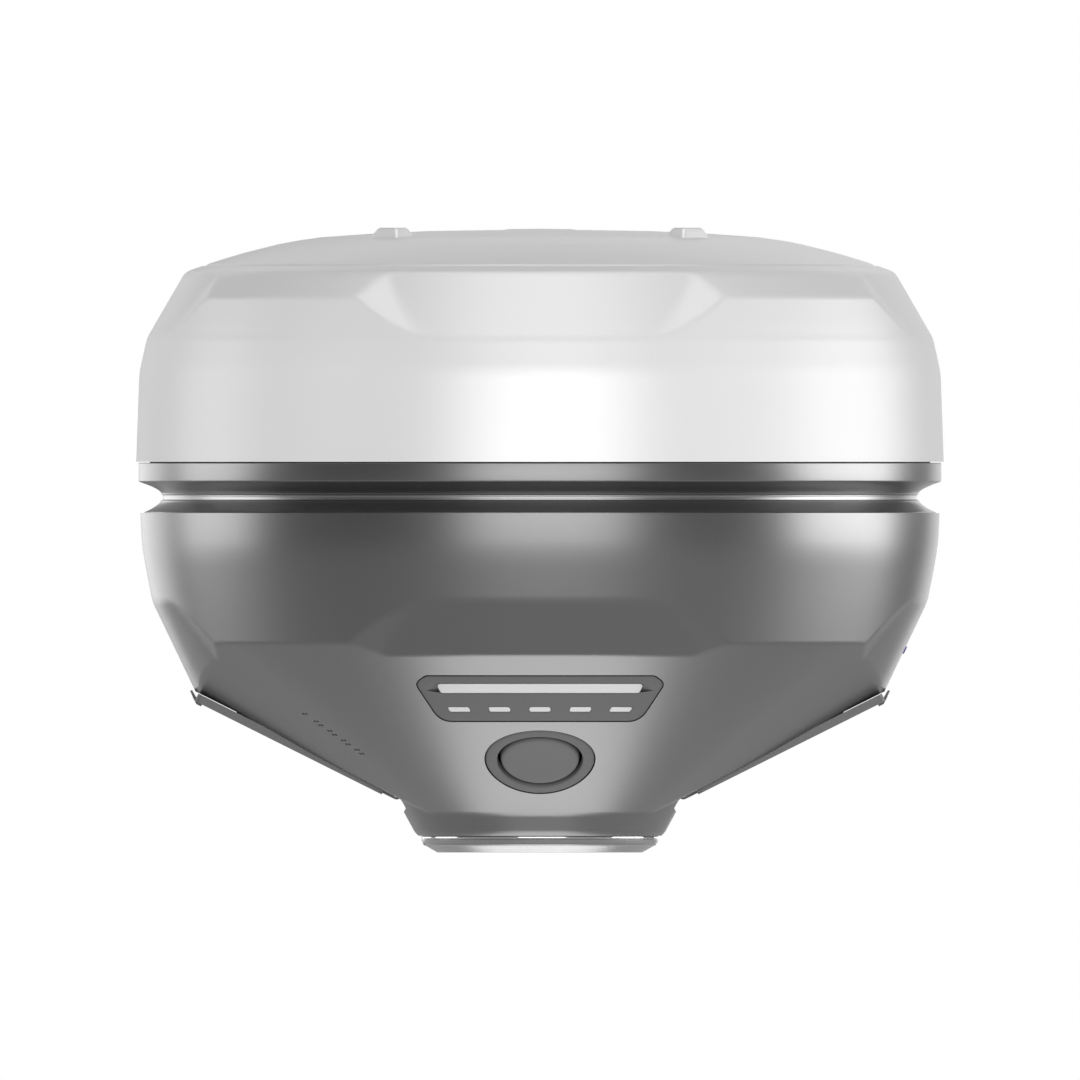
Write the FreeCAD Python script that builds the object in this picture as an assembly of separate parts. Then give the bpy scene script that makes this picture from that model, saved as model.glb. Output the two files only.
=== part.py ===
import FreeCAD, Part
import math
import os
from FreeCAD import Placement, Rotation, Vector

# GNSS receiver that screws onto a survey pole. Millimetres. +Z up, the front faces -Y.
# Origin: centre of the flat underside of the pole mount.

# lower housing, outer surface
LOWER_BASE_Z = 3.0
NECK_TOP_Z = 7.2
NECK_BASE_R = 22.3
NECK_TOP_R = 24.6
CONE_RATIO = 1.43            # radius gained per unit of height on the lower cone
CONE_APEX_Z = -10.1
TANGENT_AZ = 55.0            # beyond this angle from the front the cone runs on as flat planes
WALL_R = 72.2
WALL_CURVE_Z = 56.0
WALL_FOOT_Z = 45.5
WALL_FOOT_R = 70.1
LOWER_TOP_Z = 61.35
DEEP_SLOPE = 0.478           # deep chamfer of the lower housing, radius per unit of height
FACET_SLOPE = 0.5            # side facets, height per unit of distance outwards
FACET_START_X = 5.86
CORNER_PLANE = (0.705, 0.463, -0.538)
CORNER_OFFSET = 34.37
CORNER_HALF_ANGLE = 31.0

# waist between the two housings
GROOVE_R = 68.2
GROOVE_LOW_Z = 63.7
GROOVE_HIGH_Z = 64.6
CHASSIS_EDGE_R = 72.6
CHASSIS_EDGE_Z = 67.1
CHASSIS_TOP_Z = 70.4

# radome, outer surface
RADOME_BASE_Z = 70.6
RADOME_R = 73.0
RADOME_MID_R = 72.4
RADOME_MID_Z = 86.8
DEEP_EDGE_R = 71.0
DEEP_EDGE_Z = 93.0
SHALLOW_EDGE_R = 68.8
SHALLOW_EDGE_Z = 100.4
SHOULDER_R = 64.1
SHOULDER_Z = 104.9
TOP_GROOVE_R = 60.5
TOP_GROOVE_Z = 106.2
DOME_R = 58.5
DOME_EDGE_Z = 107.0
DOME_CAP_R = 39.4
DOME_CAP_Z = 111.2
DOME_TOP_Z = 112.6
TOP_PLANE = (0.661, 0.466, 0.588)
TOP_OFFSET = 111.62
CENTRE_PLUG_R = 6.7
FOOT_SPACING = 26.6          # top bumps stand at this distance along X and along Y
FOOT_TOP_Z = 112.9

# walls and gaps
SHELL = 2.5
FACET_WALL = 6.5
FLOOR_Z = 12.0
SEAM = 0.12
GAP = 0.3

# pole mount: 5/8 inch, 11 threads per inch, modelled at the thread's inner radius
THREAD_R = 6.8
THREAD_DEPTH = 19.0
THREAD_LEAD_IN = 0.7
INSERT_R = 11.0
INSERT_TOP_Z = 22.0
PLATE_R = 21.5
PLATE_FLAT_R = 18.5
PLATE_TOP_Z = 2.45
PLATE_SCREW_R = 15.0           # circle of the four screws that hold the plate

# power button, on the front of the cone
BUTTON_Z = 16.3
BUTTON_BEZEL_R = 9.9
BUTTON_HOLE_R = 7.65
BUTTON_CAP_R = 7.1
BUTTON_STEM_R = 2.0
BOARD_DEPTH = 10.5
BOARD_THICK = 1.5

# status panel, measured across the front and up
PANEL_TOP_Z = 31.9
PANEL_WIDE_Z = 30.6
PANEL_NARROW_Z = 25.2
PANEL_LOW_Z = 23.7
PANEL_TOP_HALF = 20.7
PANEL_WIDE_HALF = 22.6
PANEL_NARROW_HALF = 19.0
PANEL_LOW_HALF = 15.7
PANEL_DEPTH = 1.5
BAR_TOP_Z = 30.5
BAR_LOW_Z = 28.75
BAR_TOP_HALF = 18.8
BAR_LOW_HALF = 17.9
LED_PITCH = 7.3
LED_HALF = 1.95
LED_TOP_Z = 26.3
LED_LOW_Z = 25.4

# port covers on the side facets, measured from the middle of the facet
FACET_MID_X = 44.0
HINGE_U = -20.0
HINGE_N = -0.5
KNUCKLE_R = 1.0
KNUCKLE_HALF = 5.6
HINGE_PIN_R = 0.5
HINGE_EAR_Y = 6.0
HINGE_EAR_WIDE = 3.0
COVER_HALF = 10.5
COVER_PROUD = 0.8
COVER_SEAT = 0.8
COVER_START_U = -17.6
COVER_END_U = 20.2
POCKET_DEPTH = 4.2
POCKET_LOW_U = -15.0
POCKET_HIGH_U = 13.0
POCKET_HALF = 8.0

# vent: groups of small holes that run down the left front of the cone
VENT_TURN = -56.0
VENT_Z = 26.4
VENT_ROWS = 5
VENT_FIRST = (-1.41, -2.34)    # first group, across and up the slope from the vent's place
VENT_STEP = (0.75, -3.0)
VENT_HOLE_R = 0.3
VENT_SPREAD = (0.45, 0.62)

# electronics
CELL_R = 9.2
CELL_LENGTH = 65.0
CELL_Z = 44.0
MAIN_BOARD_Z = 57.6
MAIN_BOARD_R = 58.0
BOARD = 1.6
CELL_Y = 9.7
CRADLE_LOW_Z = 31.5
CRADLE_FLOOR_Z = 33.5
CRADLE_POST_X = 30.0
CRADLE_POST_Y = 17.0
POST_CIRCLE_R = 44.0          # boards and ground plate stand on posts on this circle
CABLE_HOLE_X = 20.0
CHASSIS_SCREW_R = 62.6
CHASSIS_FLOOR_Z = 66.0
CHASSIS_FLOOR_TOP_Z = 68.0

# antenna
GROUND_Z = 74.0
GROUND_TOP_Z = 75.2
ANTENNA_Z = 88.0
ANTENNA_TOP_Z = 89.6
ARM_TOP_Z = 90.1
PATCH_Z = 92.0
PATCH_TOP_Z = 95.0

SLOPE_ANGLE = math.atan(CONE_RATIO)
FACET_ANGLE = math.atan(FACET_SLOPE)
Z_AXIS = Vector(0, 0, 1)
ORIGIN = Vector(0, 0, 0)


def turned(points):
    """Solid of revolution about Z from (radius, height) points."""
    loop = [Vector(r, 0, z) for r, z in points]
    loop.append(loop[0])
    face = Part.Face(Part.makePolygon(loop))
    return face.revolve(ORIGIN, Z_AXIS, 360)


def disc(r, z0, z1, x=0.0, y=0.0):
    return Part.makeCylinder(r, z1 - z0, Vector(x, y, z0))


def tube(r_in, r_out, z0, z1):
    return turned([(r_in, z0), (r_out, z0), (r_out, z1), (r_in, z1)])


def block(x0, x1, y0, y1, z0, z1):
    return Part.makeBox(x1 - x0, y1 - y0, z1 - z0, Vector(x0, y0, z0))


def around(shape, count, first=0.0):
    """Copies of one shape at equal angles about Z."""
    copies = []
    for k in range(count):
        c = shape.copy()
        c.rotate(ORIGIN, Z_AXIS, first + 360.0 * k / count)
        copies.append(c)
    return copies


def group(shapes):
    return Part.makeCompound(shapes)


def fused(first, others):
    out = first
    for s in others:
        out = out.fuse(s)
    return out.removeSplitter()


def cut_all(shape, tools):
    for t in tools:
        shape = shape.cut(t)
    return shape


def beyond(point, normal):
    """A very large block that fills the side of a plane its normal points to."""
    b = Part.makeBox(400, 400, 400, Vector(-200, -200, 0))
    b.Placement = Placement(point, Rotation(Z_AXIS, normal))
    return b


def corner_pad(points, plane, offset):
    """Corner part of a form: a full profile about 45 degrees, cut by two facing planes."""
    loop = [Vector(r, 0, z) for r, z in points]
    loop.append(loop[0])
    pad = Part.Face(Part.makePolygon(loop)).revolve(ORIGIN, Z_AXIS, 2 * CORNER_HALF_ANGLE)
    pad.rotate(ORIGIN, Z_AXIS, -CORNER_HALF_ANGLE)
    for side in (-1, 1):
        n = Vector(plane[0], side * plane[1], plane[2])
        pad = pad.cut(beyond(n * offset, n))
    return pad


def side_wedge(apex, side):
    """Flat-sided part of the lower cone: two planes that touch the cone and meet at the side."""
    a = math.radians(TANGENT_AZ)
    rings = []
    for rise in (12.0, 84.0):
        r = CONE_RATIO * rise
        z = apex + rise
        touch = side * r * math.sin(a)
        depth = r * math.cos(a)
        tip = side * r / math.sin(a)
        inner = Vector(side * 0.2 * r, 0, z)
        rings.append([inner, Vector(touch, -depth, z), Vector(tip, 0, z), Vector(touch, depth, z)])
    low, high = rings
    faces = [Part.Face(Part.makePolygon(ring + [ring[0]])) for ring in rings]
    for k in range(4):
        j = (k + 1) % 4
        quad = [low[k], low[j], high[j], high[k], low[k]]
        faces.append(Part.Face(Part.makePolygon(quad)))
    wedge = Part.Solid(Part.Shell(faces))
    if wedge.Volume < 0:
        wedge.reverse()
    return wedge


def lower_cone(apex):
    cone = Part.makeCone(CONE_RATIO * 12.0, CONE_RATIO * 84.0, 72.0, Vector(0, 0, apex + 12.0))
    return fused(cone, [side_wedge(apex, -1), side_wedge(apex, 1)])


def lower_form(inset, facet_inset, top_z):
    """The lower housing's outer shape, or the same shape moved inwards."""
    grow = inset * math.sqrt(1 + DEEP_SLOPE ** 2)
    wall = WALL_R - inset
    foot = WALL_FOOT_R - inset
    low_z = LOWER_BASE_Z
    deep_low = WALL_FOOT_R - grow - DEEP_SLOPE * (WALL_FOOT_Z - low_z)
    upper = [(foot, WALL_FOOT_Z), (foot + 1.75, WALL_FOOT_Z + 7.6), (wall, WALL_CURVE_Z)]
    body = turned([(0, low_z), (deep_low, low_z)] + upper + [(wall, top_z), (0, top_z)])
    pad_low = foot - 2.4
    pad_z = 33.0
    pad_points = [(40, pad_z), (pad_low, pad_z), (foot, WALL_FOOT_Z), (foot + 1.7, WALL_FOOT_Z + 7.6)]
    pad_points.append((40, WALL_FOOT_Z + 7.6))
    pad = corner_pad(pad_points, CORNER_PLANE, CORNER_OFFSET - inset)
    body = fused(body, around(pad, 4, 45))
    apex = CONE_APEX_Z + inset * math.sqrt(1 + CONE_RATIO ** 2) / CONE_RATIO
    body = body.common(lower_cone(apex))
    for side in (-1, 1):
        n = Vector(side * math.sin(FACET_ANGLE), 0, -math.cos(FACET_ANGLE))
        point = Vector(side * FACET_START_X, 0, 0) - n * facet_inset
        body = body.cut(beyond(point, n))
    return body


def radome_form(inset, base_z):
    """The radome's outer shape, or the same shape moved inwards."""
    i = inset
    low = [(0, base_z), (RADOME_R - i, base_z), (RADOME_R - i, RADOME_BASE_Z)]
    wall = [(RADOME_MID_R - i, RADOME_MID_Z), (DEEP_EDGE_R - i, DEEP_EDGE_Z - 0.25 * i)]
    shoulder = (SHOULDER_R - 0.8 * i, SHOULDER_Z - 0.7 * i)
    top_groove = (TOP_GROOVE_R, TOP_GROOVE_Z - i)
    dome = [(DOME_R, DOME_EDGE_Z - i), (47.3, 109.9 - i), (DOME_CAP_R, DOME_CAP_Z - i)]
    crown = [(18.0, DOME_TOP_Z - 0.35 - i), (0, DOME_TOP_Z - i)]
    body = turned(low + wall + [shoulder, top_groove] + dome + crown)
    edge = (SHALLOW_EDGE_R - i, SHALLOW_EDGE_Z - 0.4 * i)
    pad_points = [(40, DEEP_EDGE_Z - 4)]
    pad_points.append((RADOME_MID_R - i - 0.35, DEEP_EDGE_Z - 4))
    pad_points.append((DEEP_EDGE_R - i, DEEP_EDGE_Z - 0.25 * i))
    pad_points.append(edge)
    pad_points.append(shoulder)
    pad_points.append((40, shoulder[1]))
    pad = corner_pad(pad_points, TOP_PLANE, TOP_OFFSET - i)
    return fused(body, around(pad, 4, 45))


def cone_layer(outer, inner):
    """A layer of the cone's wall, between two depths below its outer surface."""
    step = math.sqrt(1 + CONE_RATIO ** 2)
    z0 = 8.0
    z1 = 40.0
    loop = []
    for z, depth in ((z0, outer), (z1, outer), (z1, inner), (z0, inner)):
        loop.append((CONE_RATIO * (z - CONE_APEX_Z) - depth * step, z))
    return turned(loop)


def front_prism(points):
    """An outline drawn in the front view, run straight back through the cone's wall."""
    loop = [Vector(x, -80, z) for x, z in points]
    loop.append(loop[0])
    return Part.Face(Part.makePolygon(loop)).extrude(Vector(0, 70, 0))


def rounded_front(points, radius):
    """front_prism with its long edges rounded."""
    s = front_prism(points)
    long_edges = []
    for e in s.Edges:
        if abs(e.Length - 70) < 0.001:
            long_edges.append(e)
    return s.makeFillet(radius, long_edges)


def on_cone(shape, z):
    """Moves a shape from its own frame (X across, Y up the slope, Z out) to the cone's front."""
    out = Vector(0, -math.cos(SLOPE_ANGLE), -math.sin(SLOPE_ANGLE))
    up = Vector(0, -math.sin(SLOPE_ANGLE), math.cos(SLOPE_ANGLE))
    across = up.cross(out)
    place = Vector(0, -CONE_RATIO * (z - CONE_APEX_Z), z)
    m = FreeCAD.Matrix(across.x, up.x, out.x, place.x, across.y, up.y, out.y, place.y,
                       across.z, up.z, out.z, place.z, 0, 0, 0, 1)
    return moved(shape, m)


def moved(shape, matrix):
    out = shape.copy()
    out.Placement = Placement(matrix).multiply(out.Placement)
    return out


def on_facet(shape, side):
    """Moves a shape from its own frame (X up the facet, Y across, Z out) to a side facet."""
    u = Vector(side * math.cos(FACET_ANGLE), 0, math.sin(FACET_ANGLE))
    n = Vector(side * math.sin(FACET_ANGLE), 0, -math.cos(FACET_ANGLE))
    v = n.cross(u)
    p = Vector(side * FACET_MID_X, 0, (FACET_MID_X - FACET_START_X) * FACET_SLOPE)
    m = FreeCAD.Matrix(u.x, v.x, n.x, p.x, u.y, v.y, n.y, p.y, u.z, v.z, n.z, p.z, 0, 0, 0, 1)
    return moved(shape, m)


def rounded_block(x0, x1, y0, y1, z0, z1, r):
    b = block(x0, x1, y0, y1, z0, z1)
    upright = []
    for e in b.Edges:
        a, c = e.Vertexes[0].Point, e.Vertexes[-1].Point
        if abs(a.x - c.x) < 0.001 and abs(a.y - c.y) < 0.001:
            upright.append(e)
    return b.makeFillet(r, upright)


# ---- pole mount ----

def mount_plate():
    mid = [(PLATE_FLAT_R, 0), (20.6, 1.2), (21.05, 1.35), (PLATE_R, PLATE_TOP_Z)]
    plate = turned([(INSERT_R + 0.1, 0)] + mid + [(INSERT_R + 0.1, PLATE_TOP_Z)])
    return cut_all(plate, around(screw_sink(), 4, 45))


def screw_sink():
    return turned([(0, -0.1), (2.55, -0.1), (2.45, 0.1), (1.3, 1.3), (1.3, 12.0), (0, 12.0)]
                  ).translated(Vector(PLATE_SCREW_R, 0, 0))


def mount_screws():
    head = turned([(0, 0.25), (2.2, 0.25), (1.1, 1.4), (1.1, 8.0), (0, 8.0)])
    slot = block(-0.35, 0.35, -1.4, 1.4, 0, 0.75)
    slot = slot.fuse(block(-1.4, 1.4, -0.35, 0.35, 0, 0.75))
    return group(around(head.cut(slot).translated(Vector(PLATE_SCREW_R, 0, 0)), 4, 45))


def polished_ring():
    return tube(19.2, 21.4, PLATE_TOP_Z, LOWER_BASE_Z)


def thread_insert():
    outer = [(THREAD_R + THREAD_LEAD_IN, 0), (INSERT_R, 0), (INSERT_R, INSERT_TOP_Z), (0, INSERT_TOP_Z)]
    inner = [(0, THREAD_DEPTH), (THREAD_R, THREAD_DEPTH), (THREAD_R, THREAD_LEAD_IN)]
    return turned(outer + inner)


# ---- lower housing ----

def panel_outline(grow):
    g = grow
    right = [(PANEL_LOW_HALF + g, PANEL_LOW_Z - g), (PANEL_NARROW_HALF + g, PANEL_NARROW_Z - g)]
    right.append((PANEL_WIDE_HALF + g, PANEL_WIDE_Z))
    right.append((PANEL_TOP_HALF + g, PANEL_TOP_Z + g))
    return right + [(-x, z) for x, z in reversed(right)]


def bar_outline(grow):
    g = grow
    right = [(BAR_LOW_HALF + g, BAR_LOW_Z - g), (BAR_TOP_HALF + g, BAR_TOP_Z + g)]
    return right + [(-x, z) for x, z in reversed(right)]


def led_outlines(grow):
    outlines = []
    g = grow
    for k in range(-2, 3):
        x = k * LED_PITCH
        lean = 0.3 * k / 2
        low = LED_LOW_Z - g
        top = LED_TOP_Z + g
        outlines.append([(x - LED_HALF - g - lean, low), (x + LED_HALF + g - lean, low),
                         (x + LED_HALF + g + lean, top), (x - LED_HALF - g + lean, top)])
    return outlines


def on_vent(shape):
    """Moves a shape from its own frame to the vent's place beside the front."""
    out = on_cone(shape, VENT_Z)
    out.rotate(ORIGIN, Z_AXIS, VENT_TURN)
    return out


def vent_holes():
    """Groups of four holes, and two in the highest group."""
    holes = []
    for row in range(VENT_ROWS):
        x = VENT_FIRST[0] + VENT_STEP[0] * row
        up = VENT_FIRST[1] + VENT_STEP[1] * row
        for across in (-VENT_SPREAD[0], VENT_SPREAD[0]):
            for along in ((0.0,) if row == 0 else (-VENT_SPREAD[1], VENT_SPREAD[1])):
                holes.append(on_vent(Part.makeCylinder(VENT_HOLE_R, 7, Vector(x + across, up + along, -5))))
    return holes


def board_posts():
    posts = []
    for x in (-17.0, 17.0):
        for up in (-2.0, 25.0):
            posts.append(on_cone(Part.makeCylinder(2.2, BOARD_DEPTH, Vector(x, up, -BOARD_DEPTH)), BUTTON_Z))
    return posts


def cradle_posts():
    posts = []
    for x in (-CRADLE_POST_X, CRADLE_POST_X):
        for y in (-CRADLE_POST_Y, CRADLE_POST_Y):
            posts.append(disc(3.0, 8.0, CRADLE_LOW_Z, x, y))
    return posts


def hinge_cut(side):
    y = HINGE_EAR_Y
    bar = Part.makeCylinder(KNUCKLE_R + 0.5, 2 * y, Vector(HINGE_U, -y, HINGE_N), Vector(0, 1, 0))
    way = block(HINGE_U - 3.0, HINGE_U + 6.0, -y, y, HINGE_N - 1.0, 6.0)
    pin = Part.makeCylinder(HINGE_PIN_R, 18.0, Vector(HINGE_U, -9.0, HINGE_N), Vector(0, 1, 0))
    return [on_facet(s, side) for s in (bar, way, pin)]


def hinge_ears(side):
    ears = []
    wide = HINGE_EAR_WIDE
    for y in (-HINGE_EAR_Y - wide, HINGE_EAR_Y):
        ear = Part.makeCylinder(KNUCKLE_R, wide, Vector(HINGE_U, y, HINGE_N), Vector(0, 1, 0))
        base = block(HINGE_U - 0.9, HINGE_U + 0.9, y, y + wide, -4.0, HINGE_N)
        ears.append(on_facet(ear, side))
        ears.append(on_facet(base, side))
    return ears


def cover_seat(side):
    seat = rounded_block(HINGE_U + 0.5, 30, -COVER_HALF - GAP, COVER_HALF + GAP, -COVER_SEAT, 6, 1.0)
    pocket = rounded_block(POCKET_LOW_U, POCKET_HIGH_U, -POCKET_HALF, POCKET_HALF, -POCKET_DEPTH, 1, 2.0)
    return [on_facet(seat, side), on_facet(pocket, side)]


def port_holes():
    usb = rounded_block(3.0, 6.4, -4.6, 4.6, -8.0, -3.0, 1.5)
    sim = rounded_block(-8.6, -5.4, -6.7, 6.7, -8.0, -3.0, 0.4)
    serial = Part.makeCylinder(5.6, 5.0, Vector(5.0, 0, -8.0))
    radio = Part.makeCylinder(4.1, 5.0, Vector(-8.0, 0, -8.0))
    return [on_facet(usb, -1), on_facet(sim, -1), on_facet(serial, 1), on_facet(radio, 1)]


def lower_housing():
    neck_points = [(0, LOWER_BASE_Z), (21.9, LOWER_BASE_Z), (NECK_BASE_R, 3.35), (22.7, 3.7)]
    neck_points += [(NECK_TOP_R, NECK_TOP_Z), (25.5, 8.9), (22.0, 14.0), (0, 14.0)]
    outer = fused(lower_form(0, 0, LOWER_TOP_Z), [turned(neck_points)])
    inner = lower_form(SHELL, FACET_WALL, LOWER_TOP_Z + 5)
    inner = inner.cut(block(-90, 90, -90, 90, -5, FLOOR_Z))
    shell = outer.cut(inner)
    fill = lower_form(1.0, 1.0, LOWER_TOP_Z)
    posts = [p.common(fill) for p in board_posts() + cradle_posts()]
    shell = fused(shell, posts)
    boss = disc(14.0, 10.0, 16.0)
    shell = fused(shell, [boss] + hinge_ears(-1) + hinge_ears(1))
    shell = shell.cut(disc(INSERT_R + 0.05, 0, 30))
    shell = cut_all(shell, around(disc(1.15, 0, 9.0, PLATE_SCREW_R, 0), 4, 45))
    panel = rounded_front(panel_outline(SEAM), 1.2).common(cone_layer(-2, PANEL_DEPTH))
    cuts = [panel, rounded_front(bar_outline(0.15), 0.5)]
    cuts += [front_prism(o) for o in led_outlines(0.15)]
    reach = cone_layer(-2, 5.0)
    shell = shell.cut(cuts[0])
    shell = cut_all(shell, [c.common(reach) for c in cuts[1:]])
    bezel = on_cone(Part.makeCylinder(BUTTON_BEZEL_R + SEAM, 12, Vector(0, 0, -6)), BUTTON_Z)
    shell = shell.cut(bezel.common(cone_layer(-2, PANEL_DEPTH)))
    shell = shell.cut(on_cone(Part.makeCylinder(BUTTON_HOLE_R, 9, Vector(0, 0, -6)), BUTTON_Z))
    for side in (-1, 1):
        shell = cut_all(shell, hinge_cut(side) + cover_seat(side))
    shell = cut_all(shell, port_holes() + vent_holes())
    shell = shell.cut(tube(70.2, 71.4, LOWER_TOP_Z - 1.0, LOWER_TOP_Z + 1))
    return shell


def main_gasket():
    return tube(70.35, 71.25, LOWER_TOP_Z - 0.9, LOWER_TOP_Z - 0.05)


def lower_collar():
    curve = [(71.9, LOWER_TOP_Z), (71.0, 61.9), (69.6, 63.0), (GROOVE_R + 0.3, GROOVE_LOW_Z)]
    ring = turned([(63.0, LOWER_TOP_Z)] + curve + [(63.0, GROOVE_LOW_Z)])
    lugs = around(block(60.0, 65.0, -4.0, 4.0, LOWER_TOP_Z, GROOVE_LOW_Z), 6, 30)
    ring = fused(ring, lugs)
    return cut_all(ring, around(disc(1.3, 60, 66, CHASSIS_SCREW_R, 0), 6, 30))


def waist_ring():
    return tube(66.0, GROOVE_R, GROOVE_LOW_Z, GROOVE_HIGH_Z)


# ---- upper chassis ----

def upper_chassis():
    rim = [(GROOVE_R + 0.3, GROOVE_HIGH_Z), (CHASSIS_EDGE_R, CHASSIS_EDGE_Z), (CHASSIS_EDGE_R, CHASSIS_TOP_Z)]
    ring = turned([(60.0, GROOVE_HIGH_Z)] + rim + [(60.0, CHASSIS_TOP_Z)])
    body = fused(ring, [disc(61.0, CHASSIS_FLOOR_Z, CHASSIS_FLOOR_TOP_Z)])
    body = body.cut(tube(68.2, 70.7, CHASSIS_TOP_Z - 1.5, CHASSIS_TOP_Z + 1))
    holes = around(disc(1.3, 60, 75, CHASSIS_SCREW_R, 0), 6, 30)
    holes += around(disc(3.0, 67.5, 75, CHASSIS_SCREW_R, 0), 6, 30)
    holes += around(disc(1.6, 60, 75, POST_CIRCLE_R, 0), 4, 45)
    holes.append(disc(5.0, 60, 75, CABLE_HOLE_X, 0))
    return cut_all(body, holes)


def chassis_screws():
    s = fused(disc(2.5, 67.5, 69.4), [disc(1.1, 61.5, 67.5)])
    s = s.cut(disc(1.1, 68.3, 69.5))
    return group(around(s.translated(Vector(CHASSIS_SCREW_R, 0, 0)), 6, 30))


def radome_gasket():
    return tube(68.35, 70.4, CHASSIS_TOP_Z - 1.4, CHASSIS_TOP_Z + 0.1)


# ---- radome ----

def radome():
    shell = radome_form(0, RADOME_BASE_Z).cut(radome_form(SHELL, RADOME_BASE_Z - 5))
    layer = radome_form(-1, RADOME_BASE_Z).cut(radome_form(1.0, RADOME_BASE_Z - 5))
    seat = layer.common(disc(DOME_CAP_R, 100, 120))
    shell = shell.cut(seat)
    groove = turned([(60.1, 107.5), (60.1, 106.0), (60.5, 105.7), (60.9, 105.9), (60.9, 107.5)])
    return cut_all(shell.cut(groove), foot_tools(0.1))


def top_cap():
    layer = radome_form(0, RADOME_BASE_Z).cut(radome_form(1.0, RADOME_BASE_Z - 5))
    cap = layer.common(disc(DOME_CAP_R - SEAM, 100, 120))
    return cut_all(cap.cut(disc(CENTRE_PLUG_R, 100, 120)), foot_tools(0.1))


def centre_plug():
    layer = radome_form(-0.12, RADOME_BASE_Z).cut(radome_form(1.0, RADOME_BASE_Z - 5))
    return layer.common(disc(CENTRE_PLUG_R - SEAM, 100, 120))


def foot_solid(grow):
    """One bump: long across the diagonal, tapered to a narrow top."""
    g = grow
    base = [Vector(-3.2 - g, -4.2 - g, 0), Vector(3.2 + g, -4.2 - g, 0)]
    base += [Vector(3.2 + g, 4.2 + g, 0), Vector(-3.2 - g, 4.2 + g, 0)]
    top = [Vector(-1.6 - g, -2.4 - g, 3.3), Vector(1.6 + g, -2.4 - g, 3.3)]
    top += [Vector(1.6 + g, 2.4 + g, 3.3), Vector(-1.6 - g, 2.4 + g, 3.3)]
    loops = [Part.makePolygon(p + [p[0]]) for p in (base, top)]
    foot = Part.makeLoft(loops, True, True)
    return foot.translated(Vector(FOOT_SPACING * math.sqrt(2), 0, FOOT_TOP_Z - 3.3))


def foot_tools(grow):
    return around(foot_solid(grow), 4, 45)


def radome_feet():
    return group(foot_tools(0))


# ---- status panel and button ----

def led_panel():
    panel = rounded_front(panel_outline(0), 1.2).common(cone_layer(0.05, PANEL_DEPTH - 0.05))
    panel = panel.cut(rounded_front(bar_outline(0.12), 0.5))
    return cut_all(panel, [front_prism(o) for o in led_outlines(0.12)])


def light_bar():
    return rounded_front(bar_outline(0), 0.5).common(cone_layer(0.3, 3.6))


def status_leds():
    return group([front_prism(o).common(cone_layer(0.15, 3.6)) for o in led_outlines(0)])


def front_board():
    board = block(-20, 20, -10, 29, -BOARD_DEPTH - BOARD_THICK, -BOARD_DEPTH)
    return on_cone(board, BUTTON_Z)


def led_emitters():
    chips = []
    for k in range(-2, 3):
        x = k * LED_PITCH
        chips.append(on_cone(block(x - 1, x + 1, 15.5, 17, -BOARD_DEPTH, -9.8), BUTTON_Z))
    for k in range(-3, 4):
        x = 4.0 * k
        chips.append(on_cone(block(x - 1, x + 1, 22, 23.5, -BOARD_DEPTH, -9.8), BUTTON_Z))
    return group(chips)


def button_bezel():
    ring = on_cone(Part.makeCylinder(BUTTON_BEZEL_R, 12, Vector(0, 0, -6)), BUTTON_Z)
    ring = ring.common(cone_layer(0.02, PANEL_DEPTH - 0.05))
    return ring.cut(on_cone(Part.makeCylinder(BUTTON_HOLE_R, 12, Vector(0, 0, -6)), BUTTON_Z))


def button_cap():
    cap = on_cone(Part.makeCylinder(BUTTON_CAP_R, 4.6, Vector(0, 0, -4.6)), BUTTON_Z)
    cap = cap.common(cone_layer(0.15, 9.0))
    return fused(cap, [on_cone(Part.makeCylinder(8.7, 1.0, Vector(0, 0, -5.6)), BUTTON_Z)])


def button_stem():
    return on_cone(Part.makeCylinder(BUTTON_STEM_R, 2.2, Vector(0, 0, -7.8)), BUTTON_Z)


def tactile_switch():
    base = block(-3.5, 3.5, -3.5, 3.5, -BOARD_DEPTH, -9.2)
    dome = Part.makeCylinder(1.6, 0.4, Vector(0, 0, -9.2))
    return on_cone(fused(base, [dome]), BUTTON_Z)


def vent_membrane():
    """Disc behind the middle of the vent's holes, clear of the wall."""
    middle = (VENT_ROWS - 1) / 2
    x = VENT_FIRST[0] + VENT_STEP[0] * middle
    up = VENT_FIRST[1] + VENT_STEP[1] * middle
    return on_vent(Part.makeCylinder(7.2, 0.4, Vector(x + 0.8, up + 0.2, -4.3)))


def port_marker():
    """Small coloured tab on the deep chamfer above the right cover, 0.25 proud of it."""
    low_z = 35.9
    high_z = 37.2
    low_x = WALL_FOOT_R - DEEP_SLOPE * (WALL_FOOT_Z - low_z)
    high_x = WALL_FOOT_R - DEEP_SLOPE * (WALL_FOOT_Z - high_z)
    loop = [Vector(low_x - 0.8, -1.2, low_z), Vector(low_x + 0.25, -1.2, low_z)]
    loop += [Vector(high_x + 0.25, -1.2, high_z), Vector(high_x - 0.8, -1.2, high_z)]
    loop.append(loop[0])
    mark = Part.Face(Part.makePolygon(loop)).extrude(Vector(0, 2.4, 0))
    return mark.cut(lower_form(0, 0, LOWER_TOP_Z)).Solids[0]


# ---- port covers ----

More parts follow.
